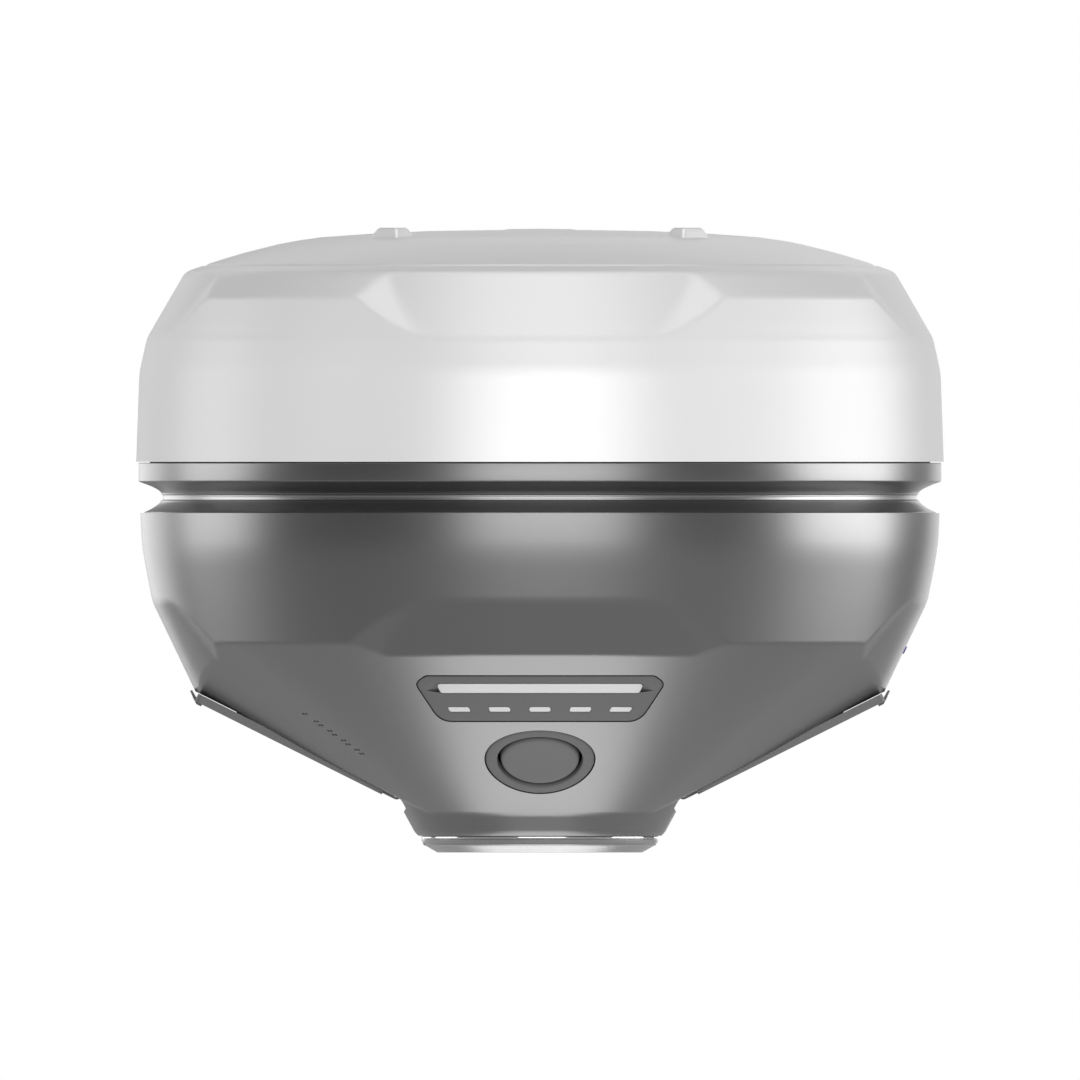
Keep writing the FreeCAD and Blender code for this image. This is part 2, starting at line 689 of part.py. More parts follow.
def cover(side):
    t = COVER_PROUD
    plate = rounded_block(COVER_START_U, COVER_END_U, -COVER_HALF, COVER_HALF, -COVER_SEAT + 0.1, t, 1.0)
    half = KNUCKLE_HALF
    tongue = block(HINGE_U, COVER_START_U + 2, -half, half, HINGE_N - 0.6, HINGE_N + KNUCKLE_R)
    knuckle = Part.makeCylinder(KNUCKLE_R, 2 * half, Vector(HINGE_U, -half, HINGE_N), Vector(0, 1, 0))
    body = fused(plate, [tongue, knuckle])
    bore = Part.makeCylinder(HINGE_PIN_R + 0.05, 20, Vector(HINGE_U, -10, HINGE_N), Vector(0, 1, 0))
    body = on_facet(body.cut(bore), side)
    lip = [(61.0, 26.55), (61.85, 26.95), (62.35, 27.9), (63.0, 29.4)]
    lip += [(62.6, 29.5), (61.9, 28.25), (60.6, 27.2)]
    loop = [Vector(side * (x + 0.25), -5.0, z - 0.15) for x, z in lip]
    loop.append(loop[0])
    tab = Part.Face(Part.makePolygon(loop)).extrude(Vector(0, 10.0, 0))
    return fused(body, [tab])


def cover_seal(side):
    low = POCKET_LOW_U + 0.5
    high = POCKET_HIGH_U - 0.5
    half = POCKET_HALF - 0.5
    plug = rounded_block(low, high, -half, half, -POCKET_DEPTH + 0.6, -COVER_SEAT + 0.1, 1.6)
    hollow = rounded_block(low + 1.5, high - 1.5, -half + 1.5, half - 1.5, -POCKET_DEPTH, -2.0, 1.0)
    return on_facet(plug.cut(hollow), side)


def hinge_pin(side):
    pin = Part.makeCylinder(HINGE_PIN_R, 17.6, Vector(HINGE_U, -8.8, HINGE_N), Vector(0, 1, 0))
    return on_facet(pin, side)


# ---- connectors behind the covers ----

def usb_socket():
    shell = rounded_block(3.1, 6.3, -4.5, 4.5, -11.0, -POCKET_DEPTH, 1.4)
    mouth = rounded_block(3.4, 6.0, -4.2, 4.2, -10.0, -POCKET_DEPTH + 1, 1.2)
    tongue = block(4.35, 5.05, -3.3, 3.3, -10.2, -5.0)
    return on_facet(fused(shell.cut(mouth), [tongue]), -1)


def sim_tray():
    face = rounded_block(-8.5, -5.5, -6.6, 6.6, -4.9, -POCKET_DEPTH, 0.4)
    tray = block(-7.4, -6.6, -6.2, 6.2, -11.4, -4.9)
    hole = Part.makeCylinder(0.5, 3, Vector(-7.0, 5.4, -6.0))
    return on_facet(fused(face, [tray]).cut(hole), -1)


def port_board(side):
    return on_facet(block(-13, 12, -9, 9, -13.0, -11.5), side)


def serial_socket():
    body = Part.makeCylinder(5.5, 7.3, Vector(5.0, 0, -11.5))
    body = body.cut(Part.makeCylinder(4.4, 2.6, Vector(5.0, 0, -6.8)))
    pins = [Part.makeCylinder(0.4, 2.4, Vector(5.0, 0, -6.9))]
    for k in range(6):
        a = math.radians(60 * k)
        pins.append(Part.makeCylinder(0.4, 2.4, Vector(5.0 + 2.5 * math.cos(a), 2.5 * math.sin(a), -6.9)))
    return on_facet(fused(body, pins), 1)


def radio_connector():
    body = Part.makeCylinder(4.0, 7.3, Vector(-8.0, 0, -11.5))
    body = body.cut(tube(1.6, 3.1, -7.0, -POCKET_DEPTH + 1).translated(Vector(-8.0, 0, 0)))
    core = Part.makeCylinder(0.5, 3.0, Vector(-8.0, 0, -6.0))
    return on_facet(body.cut(core), 1)


# ---- electronics ----

def battery_cells():
    cells = []
    for y in (-CELL_Y, CELL_Y):
        can = Part.makeCylinder(CELL_R, CELL_LENGTH - 1, Vector(-CELL_LENGTH / 2, y, CELL_Z), Vector(1, 0, 0))
        tip = Part.makeCylinder(3.0, 1.0, Vector(CELL_LENGTH / 2 - 1, y, CELL_Z), Vector(1, 0, 0))
        cells.append(fused(can, [tip]))
    return group(cells)


def battery_cradle():
    z = CRADLE_FLOOR_Z
    tray = block(-36, 36, -21, 21, CRADLE_LOW_Z, z)
    ends = [block(-36, -33.5, -19.5, 19.5, z, 48.0), block(33.5, 36, -19.5, 19.5, z, 48.0)]
    ribs = [block(x - 1, x + 1, -19.5, 19.5, z, 40.0) for x in (-24, 0, 24)]
    tray = fused(tray, ends + ribs)
    for y in (-CELL_Y, CELL_Y):
        start = Vector(-CELL_LENGTH / 2 - 0.5, y, CELL_Z)
        tray = tray.cut(Part.makeCylinder(CELL_R + 0.1, CELL_LENGTH + 1, start, Vector(1, 0, 0)))
    holes = []
    for x in (-CRADLE_POST_X, CRADLE_POST_X):
        for y in (-CRADLE_POST_Y, CRADLE_POST_Y):
            holes.append(disc(1.4, 20, 40, x, y))
    return cut_all(tray, holes)


def battery_strap():
    return block(-7, 7, -20.6, 20.6, CRADLE_FLOOR_Z, 54.6).cut(block(-8, 8, -19.6, 19.6, 30, 53.6))


def battery_plates():
    left = block(-33.4, -32.7, -15, 15, 40, 48)
    right = block(32.6, 33.4, -15, 15, 40, 48)
    return group([left, right])


def main_board():
    board = disc(MAIN_BOARD_R, MAIN_BOARD_Z, MAIN_BOARD_Z + BOARD)
    board = board.cut(disc(6.0, 50, 65, CABLE_HOLE_X, 0))
    return cut_all(board, around(disc(1.4, 50, 65, POST_CIRCLE_R, 0), 4, 45))


def pcb_standoffs():
    post = disc(3.0, MAIN_BOARD_Z + BOARD, CHASSIS_FLOOR_Z, POST_CIRCLE_R, 0)
    post = post.cut(disc(1.25, 50, 70, POST_CIRCLE_R, 0))
    return group(around(post, 4, 45))


def pcb_screws():
    r = POST_CIRCLE_R
    s = fused(disc(2.4, MAIN_BOARD_Z - 1.5, MAIN_BOARD_Z, r, 0), [disc(1.2, MAIN_BOARD_Z, 64.5, r, 0)])
    return group(around(s.cut(disc(1.0, 50, MAIN_BOARD_Z - 0.7, r, 0)), 4, 45))


def shield_can(x0, x1, y0, y1, h):
    z = MAIN_BOARD_Z + BOARD
    can = block(x0, x1, y0, y1, z, z + h)
    return can.cut(block(x0 + 0.3, x1 - 0.3, y0 + 0.3, y1 - 0.3, z - 1, z + h - 0.3))


def board_chips():
    z = MAIN_BOARD_Z + BOARD
    chips = [block(-14, 2, -9, 7, z, z + 1.4), block(-46, -32, -22, -10, z, z + 1.2)]
    chips += [block(26, 34, 18, 26, z, z + 1.0), block(-6, 6, -46, -40, z, z + 3.0)]
    return group(chips)


def buzzer():
    can = disc(6.0, MAIN_BOARD_Z - 4.0, MAIN_BOARD_Z, 0, 42)
    return fused(can, [disc(1.2, MAIN_BOARD_Z - 4.4, MAIN_BOARD_Z, 0, 42)])


# ---- antenna ----

def ground_plate():
    plate = disc(59.0, GROUND_Z, GROUND_TOP_Z)
    plate = plate.cut(disc(4.0, 70, 80, CABLE_HOLE_X, 0))
    return cut_all(plate, around(disc(1.6, 70, 80, POST_CIRCLE_R, 0), 4, 45))


def plate_spacers():
    post = disc(3.2, CHASSIS_FLOOR_TOP_Z, GROUND_Z, POST_CIRCLE_R, 0)
    post = post.cut(disc(1.25, 60, 80, POST_CIRCLE_R, 0))
    return group(around(post, 4, 45))


def plate_screws():
    r = POST_CIRCLE_R
    s = fused(disc(2.6, GROUND_TOP_Z, 77.0, r, 0), [disc(1.2, 68.2, GROUND_TOP_Z, r, 0)])
    return group(around(s.cut(disc(1.1, 76.0, 78, r, 0)), 4, 45))


def antenna_support():
    ring = tube(34.0, 36.5, GROUND_TOP_Z, ANTENNA_Z)
    return cut_all(ring, around(block(20, 50, -7, 7, 78.0, 85.0), 6))


def antenna_board():
    return disc(54.0, ANTENNA_Z, ANTENNA_TOP_Z)


def antenna_arms():
    arm = block(8.0, 47.0, -7.5, 7.5, ANTENNA_TOP_Z, ARM_TOP_Z)
    tip = block(36.0, 47.0, -16.0, 16.0, ANTENNA_TOP_Z, ARM_TOP_Z)
    return group(around(fused(arm, [tip]), 4))


def upper_patch():
    return disc(20.0, PATCH_Z, PATCH_TOP_Z)


def patch_posts():
    return group(around(disc(1.5, ARM_TOP_Z, PATCH_Z, 6.5, 6.5), 4))


def feed_pins():
    return group(around(disc(0.6, GROUND_TOP_Z, ANTENNA_Z, 12.0, 0), 4, 45))


def lna_shield():
    can = block(-11, 11, -6, 6, GROUND_TOP_Z, 80.0)
    return can.cut(block(-10.6, 10.6, -5.6, 5.6, 74, 79.6))


def side_antennas():
    strip = block(62.0, 63.0, -11.0, 11.0, CHASSIS_TOP_Z, 84.0)
    return group(around(strip, 3, 90))


PARTS = {
    "mount_plate": mount_plate,
    "mount_screws": mount_screws,
    "polished_ring": polished_ring,
    "thread_insert": thread_insert,
    "lower_housing": lower_housing,
    "main_gasket": main_gasket,
    "lower_collar": lower_collar,
    "waist_ring": waist_ring,
    "upper_chassis": upper_chassis,
    "chassis_screws": chassis_screws,
    "radome_gasket": radome_gasket,
    "radome": radome,
    "top_cap": top_cap,
    "centre_plug": centre_plug,
    "radome_feet": radome_feet,
    "led_panel": led_panel,
    "light_bar": light_bar,
    "status_leds": status_leds,
    "front_board": front_board,
    "led_emitters": led_emitters,
    "button_bezel": button_bezel,
    "button_cap": button_cap,
    "button_stem": button_stem,
    "tactile_switch": tactile_switch,
    "vent_membrane": vent_membrane,
    "port_marker": port_marker,
    "left_cover": lambda: cover(-1),
    "right_cover": lambda: cover(1),
    "left_cover_seal": lambda: cover_seal(-1),
    "right_cover_seal": lambda: cover_seal(1),
    "left_hinge_pin": lambda: hinge_pin(-1),
    "right_hinge_pin": lambda: hinge_pin(1),
    "usb_socket": usb_socket,
    "sim_tray": sim_tray,
    "left_port_board": lambda: port_board(-1),
    "serial_socket": serial_socket,
    "radio_connector": radio_connector,
    "right_port_board": lambda: port_board(1),
    "battery_cells": battery_cells,
    "battery_cradle": battery_cradle,
    "battery_strap": battery_strap,
    "battery_plates": battery_plates,
    "main_board": main_board,
    "pcb_standoffs": pcb_standoffs,
    "pcb_screws": pcb_screws,
    "gnss_shield": lambda: shield_can(8, 34, -28, 8, 3.0),
    "modem_shield": lambda: shield_can(-38, -12, 9, 26, 2.6),
    "board_chips": board_chips,
    "buzzer": buzzer,
    "ground_plate": ground_plate,
    "plate_spacers": plate_spacers,
    "plate_screws": plate_screws,
    "antenna_support": antenna_support,
    "antenna_board": antenna_board,
    "antenna_arms": antenna_arms,
    "upper_patch": upper_patch,
    "patch_posts": patch_posts,
    "feed_pins": feed_pins,
    "lna_shield": lna_shield,
    "side_antennas": side_antennas,
}

os.makedirs("parts", exist_ok=True)
for name in PARTS:
    shape = PARTS[name]()
    box = shape.BoundBox
    print(name, shape.isValid(), len(shape.Solids), round(shape.Volume, 1),
          [round(v, 1) for v in (box.XMin, box.XMax, box.YMin, box.YMax, box.ZMin, box.ZMax)], flush=True)
    shape.exportStep("parts/" + name + ".step")
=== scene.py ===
import math

import bmesh
import bpy
import numpy as np
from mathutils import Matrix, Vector


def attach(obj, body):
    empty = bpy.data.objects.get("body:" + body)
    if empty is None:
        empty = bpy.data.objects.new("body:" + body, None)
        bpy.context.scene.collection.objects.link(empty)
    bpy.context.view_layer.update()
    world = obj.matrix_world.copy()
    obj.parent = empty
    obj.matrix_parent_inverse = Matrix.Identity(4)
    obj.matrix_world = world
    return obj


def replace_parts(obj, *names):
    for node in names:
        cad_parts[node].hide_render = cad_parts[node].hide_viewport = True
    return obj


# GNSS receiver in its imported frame. Shapes are worked out in millimetres and written in metres.
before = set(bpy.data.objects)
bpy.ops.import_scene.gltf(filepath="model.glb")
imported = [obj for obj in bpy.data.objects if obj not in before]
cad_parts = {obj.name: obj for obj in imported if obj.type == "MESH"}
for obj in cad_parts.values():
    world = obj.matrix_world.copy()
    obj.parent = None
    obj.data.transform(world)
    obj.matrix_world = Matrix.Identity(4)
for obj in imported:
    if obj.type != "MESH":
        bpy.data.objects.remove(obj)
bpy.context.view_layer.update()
MM = 0.001
BODY = "receiver"

# ---- driving sizes, millimetres ----
# Corners of an outline are (radius, height). A plane is its normal's outward, sideways and upward parts and
# its distance from the origin, and its peak is the azimuth of the normal counted from the diagonal.
RADOME_BASE = (72.97, 70.6)
RADOME_MID = (72.4, 86.8)
RADOME_EDGE = (71.0, 93.0)
PAD_EDGE = (68.8, 100.4)
SHOULDER = (64.1, 104.9)
LIP = (60.5, 106.2)
DOME_R = (0.0, 20.0, 30.0, 39.4, 43.6, 47.3, 53.3, 58.5, 62.0)
DOME_Z = (112.6, 112.3, 111.85, 111.2, 110.6, 109.9, 108.4, 107.0, 106.0)
TOP_PLANE = (0.661, 0.466, 0.588, 111.62)
TOP_PEAK = math.radians(35.2)
CAP_R = 39.4
CAP_SEAT_Z = 111.2
PLUG_R = 6.7
RADOME_WALL = 2.3
RADOME_CENTRE_Z = 72.0
RADOME_GRID = (800, 230)
FOOT_AT = 26.6
FOOT_TOP = 112.9

WALL_TOP = (72.2, 61.35)
WALL_CURVE = (72.2, 56.5)
WALL_LOW = (71.2, 50.6)
WALL_FOOT = (70.1, 45.5)
DEEP_SLOPE = 0.478
CONE_RATIO = 1.43
CONE_APEX = -10.1
TANGENT_AZ = math.radians(55.0)
FACET_SLOPE = 0.5
FACET_ANGLE = math.atan(FACET_SLOPE)
FACET_START = 5.86
FACET_MID = 44.0
CORNER_PLANE = (0.705, 0.463, -0.538, 34.37)
CORNER_PEAK = math.radians(33.3)
NECK = ((21.9, 3.0), (22.5, 3.45), (24.6, 7.3))
HOUSING_WALL = 2.3
HOUSING_CENTRE_Z = 38.0
HOUSING_GRID = (800, 250)

GROOVE_LOW = 63.7
GROOVE_HIGH = 64.6
CHASSIS_EDGE = (72.55, 67.1)
CHASSIS_TOP = 70.42
CHASSIS_FLOOR = (66.0, 68.0)
FINE_STEPS = 384

PLATE_TOP = 2.45
PLATE_HOLE_R = 11.1
SCREW_CIRCLE_R = 15.0
SCREW_SINK_R = 2.5

BUTTON_Z = 16.3
BEZEL_R = 9.9
SEAM = 0.14
SLOPE = math.atan(CONE_RATIO)

PANEL_LEVELS = ((31.9, 20.7), (30.6, 22.6), (23.7, 18.0))
PANEL_ROUNDS = (1.6, 1.6, 4.3)
BAR_LEVELS = ((30.5, 18.8), (28.75, 17.9))
BAR_ROUNDS = (0.55, 0.55)
LED_LEVELS = (26.3, 25.4)
LED_HALF = 1.95
LED_PITCH = 7.3

# Cuts in the side facets, in the facet's own frame: U up the facet, N outwards.
SEAT_U = (-19.5, 26.0)
SEAT_HALF = 10.8
SEAT_DEPTH = 0.8
NOTCH_U = (-22.6, -14.0)
NOTCH_HALF = 6.0
NOTCH_DEPTH = 1.6
POCKET_U = (-15.0, 13.0)
POCKET_HALF = 8.0
POCKET_DEPTH = 4.2

# Port openings: low and high U, half width and corner radius, or U and radius for the round ones.
USB_PORT = (3.05, 6.35, 4.55, 1.4)
SIM_PORT = (-8.6, -5.4, 6.7, 0.4)
SERIAL_PORT = (5.0, 5.6)
RADIO_PORT = (-8.0, 4.1)

VENT_TURN = math.radians(-56.0)
VENT_Z = 26.4
VENT_FIRST = (-1.41, -2.34)
VENT_STEP = (0.75, -3.0)
VENT_SPREAD = (0.45, 0.62)
VENT_HOLE_R = 0.3
VENT_ROWS = 5

# Where cutters start and end: along Y for those from the front, and above the surface for the others.
CUT_NEAR = -75.0
CUT_FAR = -36.0
CLEAR = 6.0


# ---- smooth combining of surfaces ----

def smax(a, b, k):
    h = np.maximum(k - np.abs(a - b), 0.0) / k
    return np.maximum(a, b) + h * h * k * 0.25


def smin(a, b, k):
    return -smax(-a, -b, k)


def side_of(r, z, low, high):
    """Signed distance outside the cone through two (radius, height) points."""
    dr, dz = high[0] - low[0], high[1] - low[1]
    length = math.hypot(dr, dz)
    return ((r - low[0]) * dz - (z - low[1]) * dr) / length


def corner(x, y, z, plane, peak):
    """Distance outside the planes that face each other across the four diagonals."""
    r = np.hypot(x, y)
    d = (np.abs(x) + np.abs(y)) / math.sqrt(2)
    t = np.abs(np.abs(x) - np.abs(y)) / math.sqrt(2)
    a = np.minimum(np.arctan2(t, d), peak)
    return r * (plane[0] * np.cos(a) + plane[1] * np.sin(a)) + plane[2] * z - plane[3]


def radome_field(x, y, z):
    r = np.hypot(x, y)
    wall = smax(side_of(r, z, RADOME_BASE, RADOME_MID), side_of(r, z, RADOME_MID, RADOME_EDGE), 0.3)
    deep = side_of(r, z, RADOME_EDGE, SHOULDER)
    pad = smax(side_of(r, z, RADOME_EDGE, PAD_EDGE), side_of(r, z, PAD_EDGE, SHOULDER), 0.3)
    pad = smax(pad, corner(x, y, z, TOP_PLANE, TOP_PEAK), 0.3)
    body = smax(wall, smin(deep, pad, 0.25), 0.25)
    body = smax(body, side_of(r, z, SHOULDER, LIP), 0.7)
    dome = (z - np.interp(r, DOME_R, DOME_Z)) * 0.98
    dome += 0.45 * np.exp(-((r - LIP[0]) / 0.35) ** 2)
    return smax(body, dome, 0.5)


def housing_field(x, y, z):
    r = np.hypot(x, y)
    wall = smax(r - WALL_TOP[0], side_of(r, z, WALL_LOW, WALL_CURVE), 0.9)
    wall = smax(wall, side_of(r, z, WALL_FOOT, WALL_LOW), 0.5)
    foot = (WALL_FOOT[0] - DEEP_SLOPE * WALL_FOOT[1], 0.0)
    deep = side_of(r, z, foot, WALL_FOOT)
    wedge = smin(deep, corner(x, y, z, CORNER_PLANE, CORNER_PEAK), 0.25)
    body = smax(wall, wedge, 0.25)
    az = np.arctan2(np.abs(x), np.abs(y))
    reach = r * np.where(az > TANGENT_AZ, np.cos(az - TANGENT_AZ), 1.0)
    cone = (reach - CONE_RATIO * (z - CONE_APEX)) / math.sqrt(1 + CONE_RATIO ** 2)
    body = smax(body, cone, 0.28)
    facet = ((np.abs(x) - FACET_START) * FACET_SLOPE - z) / math.sqrt(1 + FACET_SLOPE ** 2)
    body = smax(body, facet, 0.3)
    neck = smax(side_of(r, z, NECK[1], NECK[2]), side_of(r, z, NECK[0], NECK[1]), 0.3)
    neck = smax(neck, z - 14.0, 0.5)
    return smin(body, neck, 0.35)


def find(field, start, way, low, high):
    """Points start + s * way where the field crosses zero, with s between low and high."""
    a = np.broadcast_to(np.asarray(low, float), start.shape[:-1]).copy()
    b = np.broadcast_to(np.asarray(high, float), start.shape[:-1]).copy()
    for _ in range(34):
        m = (a + b) / 2
        p = start + way * m[..., None]
        inside = field(p[..., 0], p[..., 1], p[..., 2]) < 0
        a = np.where(inside, m, a)
        b = np.where(inside, b, m)
    return start + way * ((a + b) / 2)[..., None]


def slope_of(field, p):
    """Unit outward normals of a field at points p."""
    e = 0.02
    g = []
    for axis in np.eye(3) * e:
        q = p + axis
        o = p - axis
        g.append(field(q[..., 0], q[..., 1], q[..., 2]) - field(o[..., 0], o[..., 1], o[..., 2]))
    g = np.stack(g, -1)
    return g / np.linalg.norm(g, axis=-1, keepdims=True)


# ---- meshes ----

def add(name, verts, faces, material, body=BODY):
    """A smooth-shaded piece from points in millimetres, carried by a body."""
    mesh = bpy.data.meshes.new(name)
    mesh.from_pydata((np.asarray(verts, float) * MM).tolist(), [], faces)
    mesh.validate()
    obj = bpy.data.objects.new(name, mesh)
    bpy.context.collection.objects.link(obj)
    mesh.materials.append(material)
    for p in mesh.polygons:
        p.use_smooth = True
    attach(obj, body)
    return obj


def circle(r, z, ang):
    """Points round the axis at radius r and height z, counted from the front."""
    return np.stack([r * np.sin(ang), -r * np.cos(ang), np.full(len(ang), z)], -1)


def grid_faces(rows, cols):
    """Quads between closed rows of points."""
    faces = []
    for i in range(rows - 1):
        for j in range(cols):
            k = (j + 1) % cols
            faces.append((i * cols + j, i * cols + k, (i + 1) * cols + k, (i + 1) * cols + j))
    return faces


def lathe(name, profile, material, steps=256, round_r=0.15):
    """Closed solid of revolution from (radius, height) corners, each rounded a little."""
    pts = []
    n = len(profile)
    for i in range(n):
        a, b, c = (np.array(profile[k % n], float) for k in (i - 1, i, i + 1))
        la, lc = np.linalg.norm(a - b), np.linalg.norm(c - b)
        cut = min(round_r, la * 0.4, lc * 0.4)
        if b[0] < 1e-6 or cut < 0.01:
            pts.append(b)
            continue
        p, q = b + (a - b) / la * cut, b + (c - b) / lc * cut
        for t in (0.0, 0.33, 0.67, 1.0):
            pts.append((1 - t) ** 2 * p + 2 * t * (1 - t) * b + t * t * q)
    ang = np.linspace(0, 2 * math.pi, steps, endpoint=False)
    rows = [circle(r, z, ang) for r, z in pts]
    rows.append(rows[0])
    obj = add(name, np.concatenate(rows), grid_faces(len(rows), steps), material)
    weld(obj)
    crisp(obj, 35)
    return obj


def weld(obj):
    """Joins points in the same place and turns all faces outwards."""
    bm = bmesh.new()
    bm.from_mesh(obj.data)
    bmesh.ops.remove_doubles(bm, verts=bm.verts, dist=1e-7)
    bmesh.ops.recalc_face_normals(bm, faces=bm.faces)
    bm.to_mesh(obj.data)
    bm.free()


def crisp(obj, degrees):
    obj.data.set_sharp_from_angle(angle=math.radians(degrees))


def carve(obj, cutter):
    """Cuts one closed mesh out of another and removes the cutter."""
    m = obj.modifiers.new("cut", "BOOLEAN")
    m.operation = "DIFFERENCE"
    m.solver = "EXACT"
    m.object = cutter
    with bpy.context.temp_override(object=obj, active_object=obj):
        bpy.ops.object.modifier_apply(modifier=m.name)
    bpy.data.objects.remove(cutter)


def raw(name, verts, faces):
    """A cutter, which is never part of the object."""
    mesh = bpy.data.meshes.new(name)
    mesh.from_pydata((np.asarray(verts, float) * MM).tolist(), [], faces)
    obj = bpy.data.objects.new(name, mesh)
    bpy.context.collection.objects.link(obj)
    weld(obj)
    return obj


def prism(loop, start, way):
    """Verts and faces of a closed prism from a planar loop."""
    loop = np.asarray(loop, float)
    n = len(loop)
    verts = np.concatenate([loop + np.asarray(way) * start[0], loop + np.asarray(way) * start[1]])
    faces = [tuple(range(n)), tuple(range(2 * n - 1, n - 1, -1))]
    faces += [(i, i + n, (i + 1) % n + n, (i + 1) % n) for i in range(n)]
    return verts, faces


def joined(parts):
    """Several solids as one set of verts and faces."""
    verts, faces, base = [], [], 0
    for v, f in parts:
        verts.append(v)
        faces += [tuple(i + base for i in face) for face in f]
        base += len(v)
    return np.concatenate(verts), faces


def fair_normals(obj, field, tolerance=0.03):
    """Gives the smooth surface its exact normals, and leaves cut edges and walls crisp."""
    mesh = obj.data
    n = len(mesh.vertices)
    co = np.empty(n * 3)
    mesh.vertices.foreach_get("co", co)
    p = co.reshape(-1, 3) / MM
    exact = slope_of(field, p)
    off = np.abs(field(p[:, 0], p[:, 1], p[:, 2]))
    loops = np.empty(len(mesh.loops), int)
    mesh.loops.foreach_get("vertex_index", loops)
    corner_n = np.empty(len(mesh.loops) * 3)
    mesh.corner_normals.foreach_get("vector", corner_n)
    corner_n = corner_n.reshape(-1, 3)
    counts = np.array([q.loop_total for q in mesh.polygons])
    face_n = np.empty(len(mesh.polygons) * 3)
    mesh.polygons.foreach_get("normal", face_n)
    face_n = np.repeat(face_n.reshape(-1, 3), counts, axis=0)
    e = exact[loops]
    on = (off[loops] < tolerance) & ((e * face_n).sum(-1) > 0.8)
    result = np.where(on[:, None], e, corner_n)
    mesh.normals_split_custom_set(result.tolist())


def rounded_loop(points, rounds, steps=8):
    """A flat outline with rounded corners. The radius is one number, or one for each corner."""
    pts = [np.array(p, float) for p in points]
    n = len(pts)
    out = []
    for i in range(n):
        a, b, c = pts[i - 1], pts[i], pts[(i + 1) % n]
        u, v = (a - b) / np.linalg.norm(a - b), (c - b) / np.linalg.norm(c - b)
        half = math.acos(max(-1, min(1, float(u @ v)))) / 2
        radius = rounds[i] if isinstance(rounds, list) else rounds
        cut = min(radius / math.tan(half), np.linalg.norm(a - b) * 0.48, np.linalg.norm(c - b) * 0.48)
        p, q = b + u * cut, b + v * cut
        for s in range(steps + 1):
            t = s / steps
            out.append((1 - t) ** 2 * p + 2 * t * (1 - t) * b + t * t * q)
    return out


def levels_loop(levels, grow, rounds):
    """Outline of a shape symmetric about X from its (height, half width) levels, top first."""
    k = len(levels)
    right = []
    for i, (z, half) in enumerate(levels):
        dz = grow if i == 0 else (-grow if i == k - 1 else 0.0)
        right.append((half + grow * (0.6 if i in (0, k - 1) else 1.1), z + dz))
    loop = right + [(-x, z) for x, z in reversed(right)]
    return rounded_loop(loop, list(rounds) + list(reversed(rounds)))


def front_cutter(loop):
    """A cutter with an outline in the front view."""
    return prism([(x, 0.0, z) for x, z in loop], (CUT_NEAR, CUT_FAR), (0, 1, 0))


def on_cone(x, z, depth):
    """Point on the cone's front at (x, z) in the front view, below the surface by depth."""
    r = CONE_RATIO * (z - CONE_APEX) - depth * math.sqrt(1 + CONE_RATIO ** 2)
    return np.stack([x, -np.sqrt(np.maximum(r * r - x * x, 0.0)), z], -1)


def dense(loop, step=0.7):
    """The same outline with no long edges, so that what is laid on the cone follows it."""
    out = []
    for i in range(len(loop)):
        a, b = np.asarray(loop[i], float), np.asarray(loop[(i + 1) % len(loop)], float)
        length = np.linalg.norm(b - a)
        if length < 1e-6:
            continue
        count = math.ceil(length / step)
        for k in range(count):
            out.append(a + (b - a) * k / count)
    return np.array(out)


def inset_loop(pts, amount):
    """An outline moved inwards, square to its edges."""
    way = np.roll(pts, -1, axis=0) - np.roll(pts, 1, axis=0)
    way /= np.linalg.norm(way, axis=1, keepdims=True)
    inward = np.stack([-way[:, 1], way[:, 0]], -1)
    if ((pts.mean(axis=0) - pts) * inward).sum() < 0:
        inward = -inward
    return pts + inward * amount


def filled(rings, inner, depth, steps=14):
    """Faces of a closed plate: rings from its underside outwards, then a skin towards its middle."""
    mid = inner.mean(axis=0)
    for s in range(1, steps):
        q = mid + (inner - mid) * (1 - s / steps)
        rings.append(on_cone(q[:, 0], q[:, 1], depth(q[:, 0])))
    rings.append(on_cone(mid[None, 0], mid[None, 1], depth(mid[None, 0])))
    n = len(inner)
    rows = len(rings) - 1
    faces = grid_faces(rows, n)
    faces += [((rows - 1) * n + j, (rows - 1) * n + (j + 1) % n, rows * n) for j in range(n)]
    faces.append(tuple(range(n - 1, -1, -1)))
    return np.concatenate(rings), faces


def cone_slab(name, loop, top, bottom, edge, material):
    """A plate that follows the cone: outline in the front view, rounded upper edge.

    Its top and bottom are depths below the cone, and edge is the radius of the rounding."""
    pts = dense(loop)
    side = [(0.0, bottom), (0.0, top + edge), (0.19, top + 0.45 * edge), (0.56, top + 0.12 * edge),
            (1.6, top)]
    rings = []
    for inset, depth in side:
        q = inset_loop(pts, inset * edge)
        rings.append(on_cone(q[:, 0], q[:, 1], depth))
    verts, faces = filled(rings, inset_loop(pts, 1.6 * edge), lambda x: np.full(len(x), top))
    obj = add(name, verts, faces, material)
    weld(obj)
    crisp(obj, 40)
    return obj


def ramp_cutter(side):
    """A hollow beside the end of the light bar, deepest at the bar."""
    loop = [(17.9, BAR_LEVELS[1][0] + 0.1), (20.4, BAR_LEVELS[1][0] + 0.5), (20.6, BAR_LEVELS[0][0] - 0.15),
            (18.0, BAR_LEVELS[0][0] - 0.05)]
    pts = dense(rounded_loop([(side * x, z) for x, z in loop], 0.5))

    def depth(x):
        return 0.02 + 0.75 * np.clip((20.6 - np.abs(x)) / 2.6, 0.0, 1.0)

    far = np.stack([pts[:, 0], np.full(len(pts), CUT_NEAR), pts[:, 1]], -1)
    return filled([far, on_cone(pts[:, 0], pts[:, 1], depth(pts[:, 0]))], pts, depth)


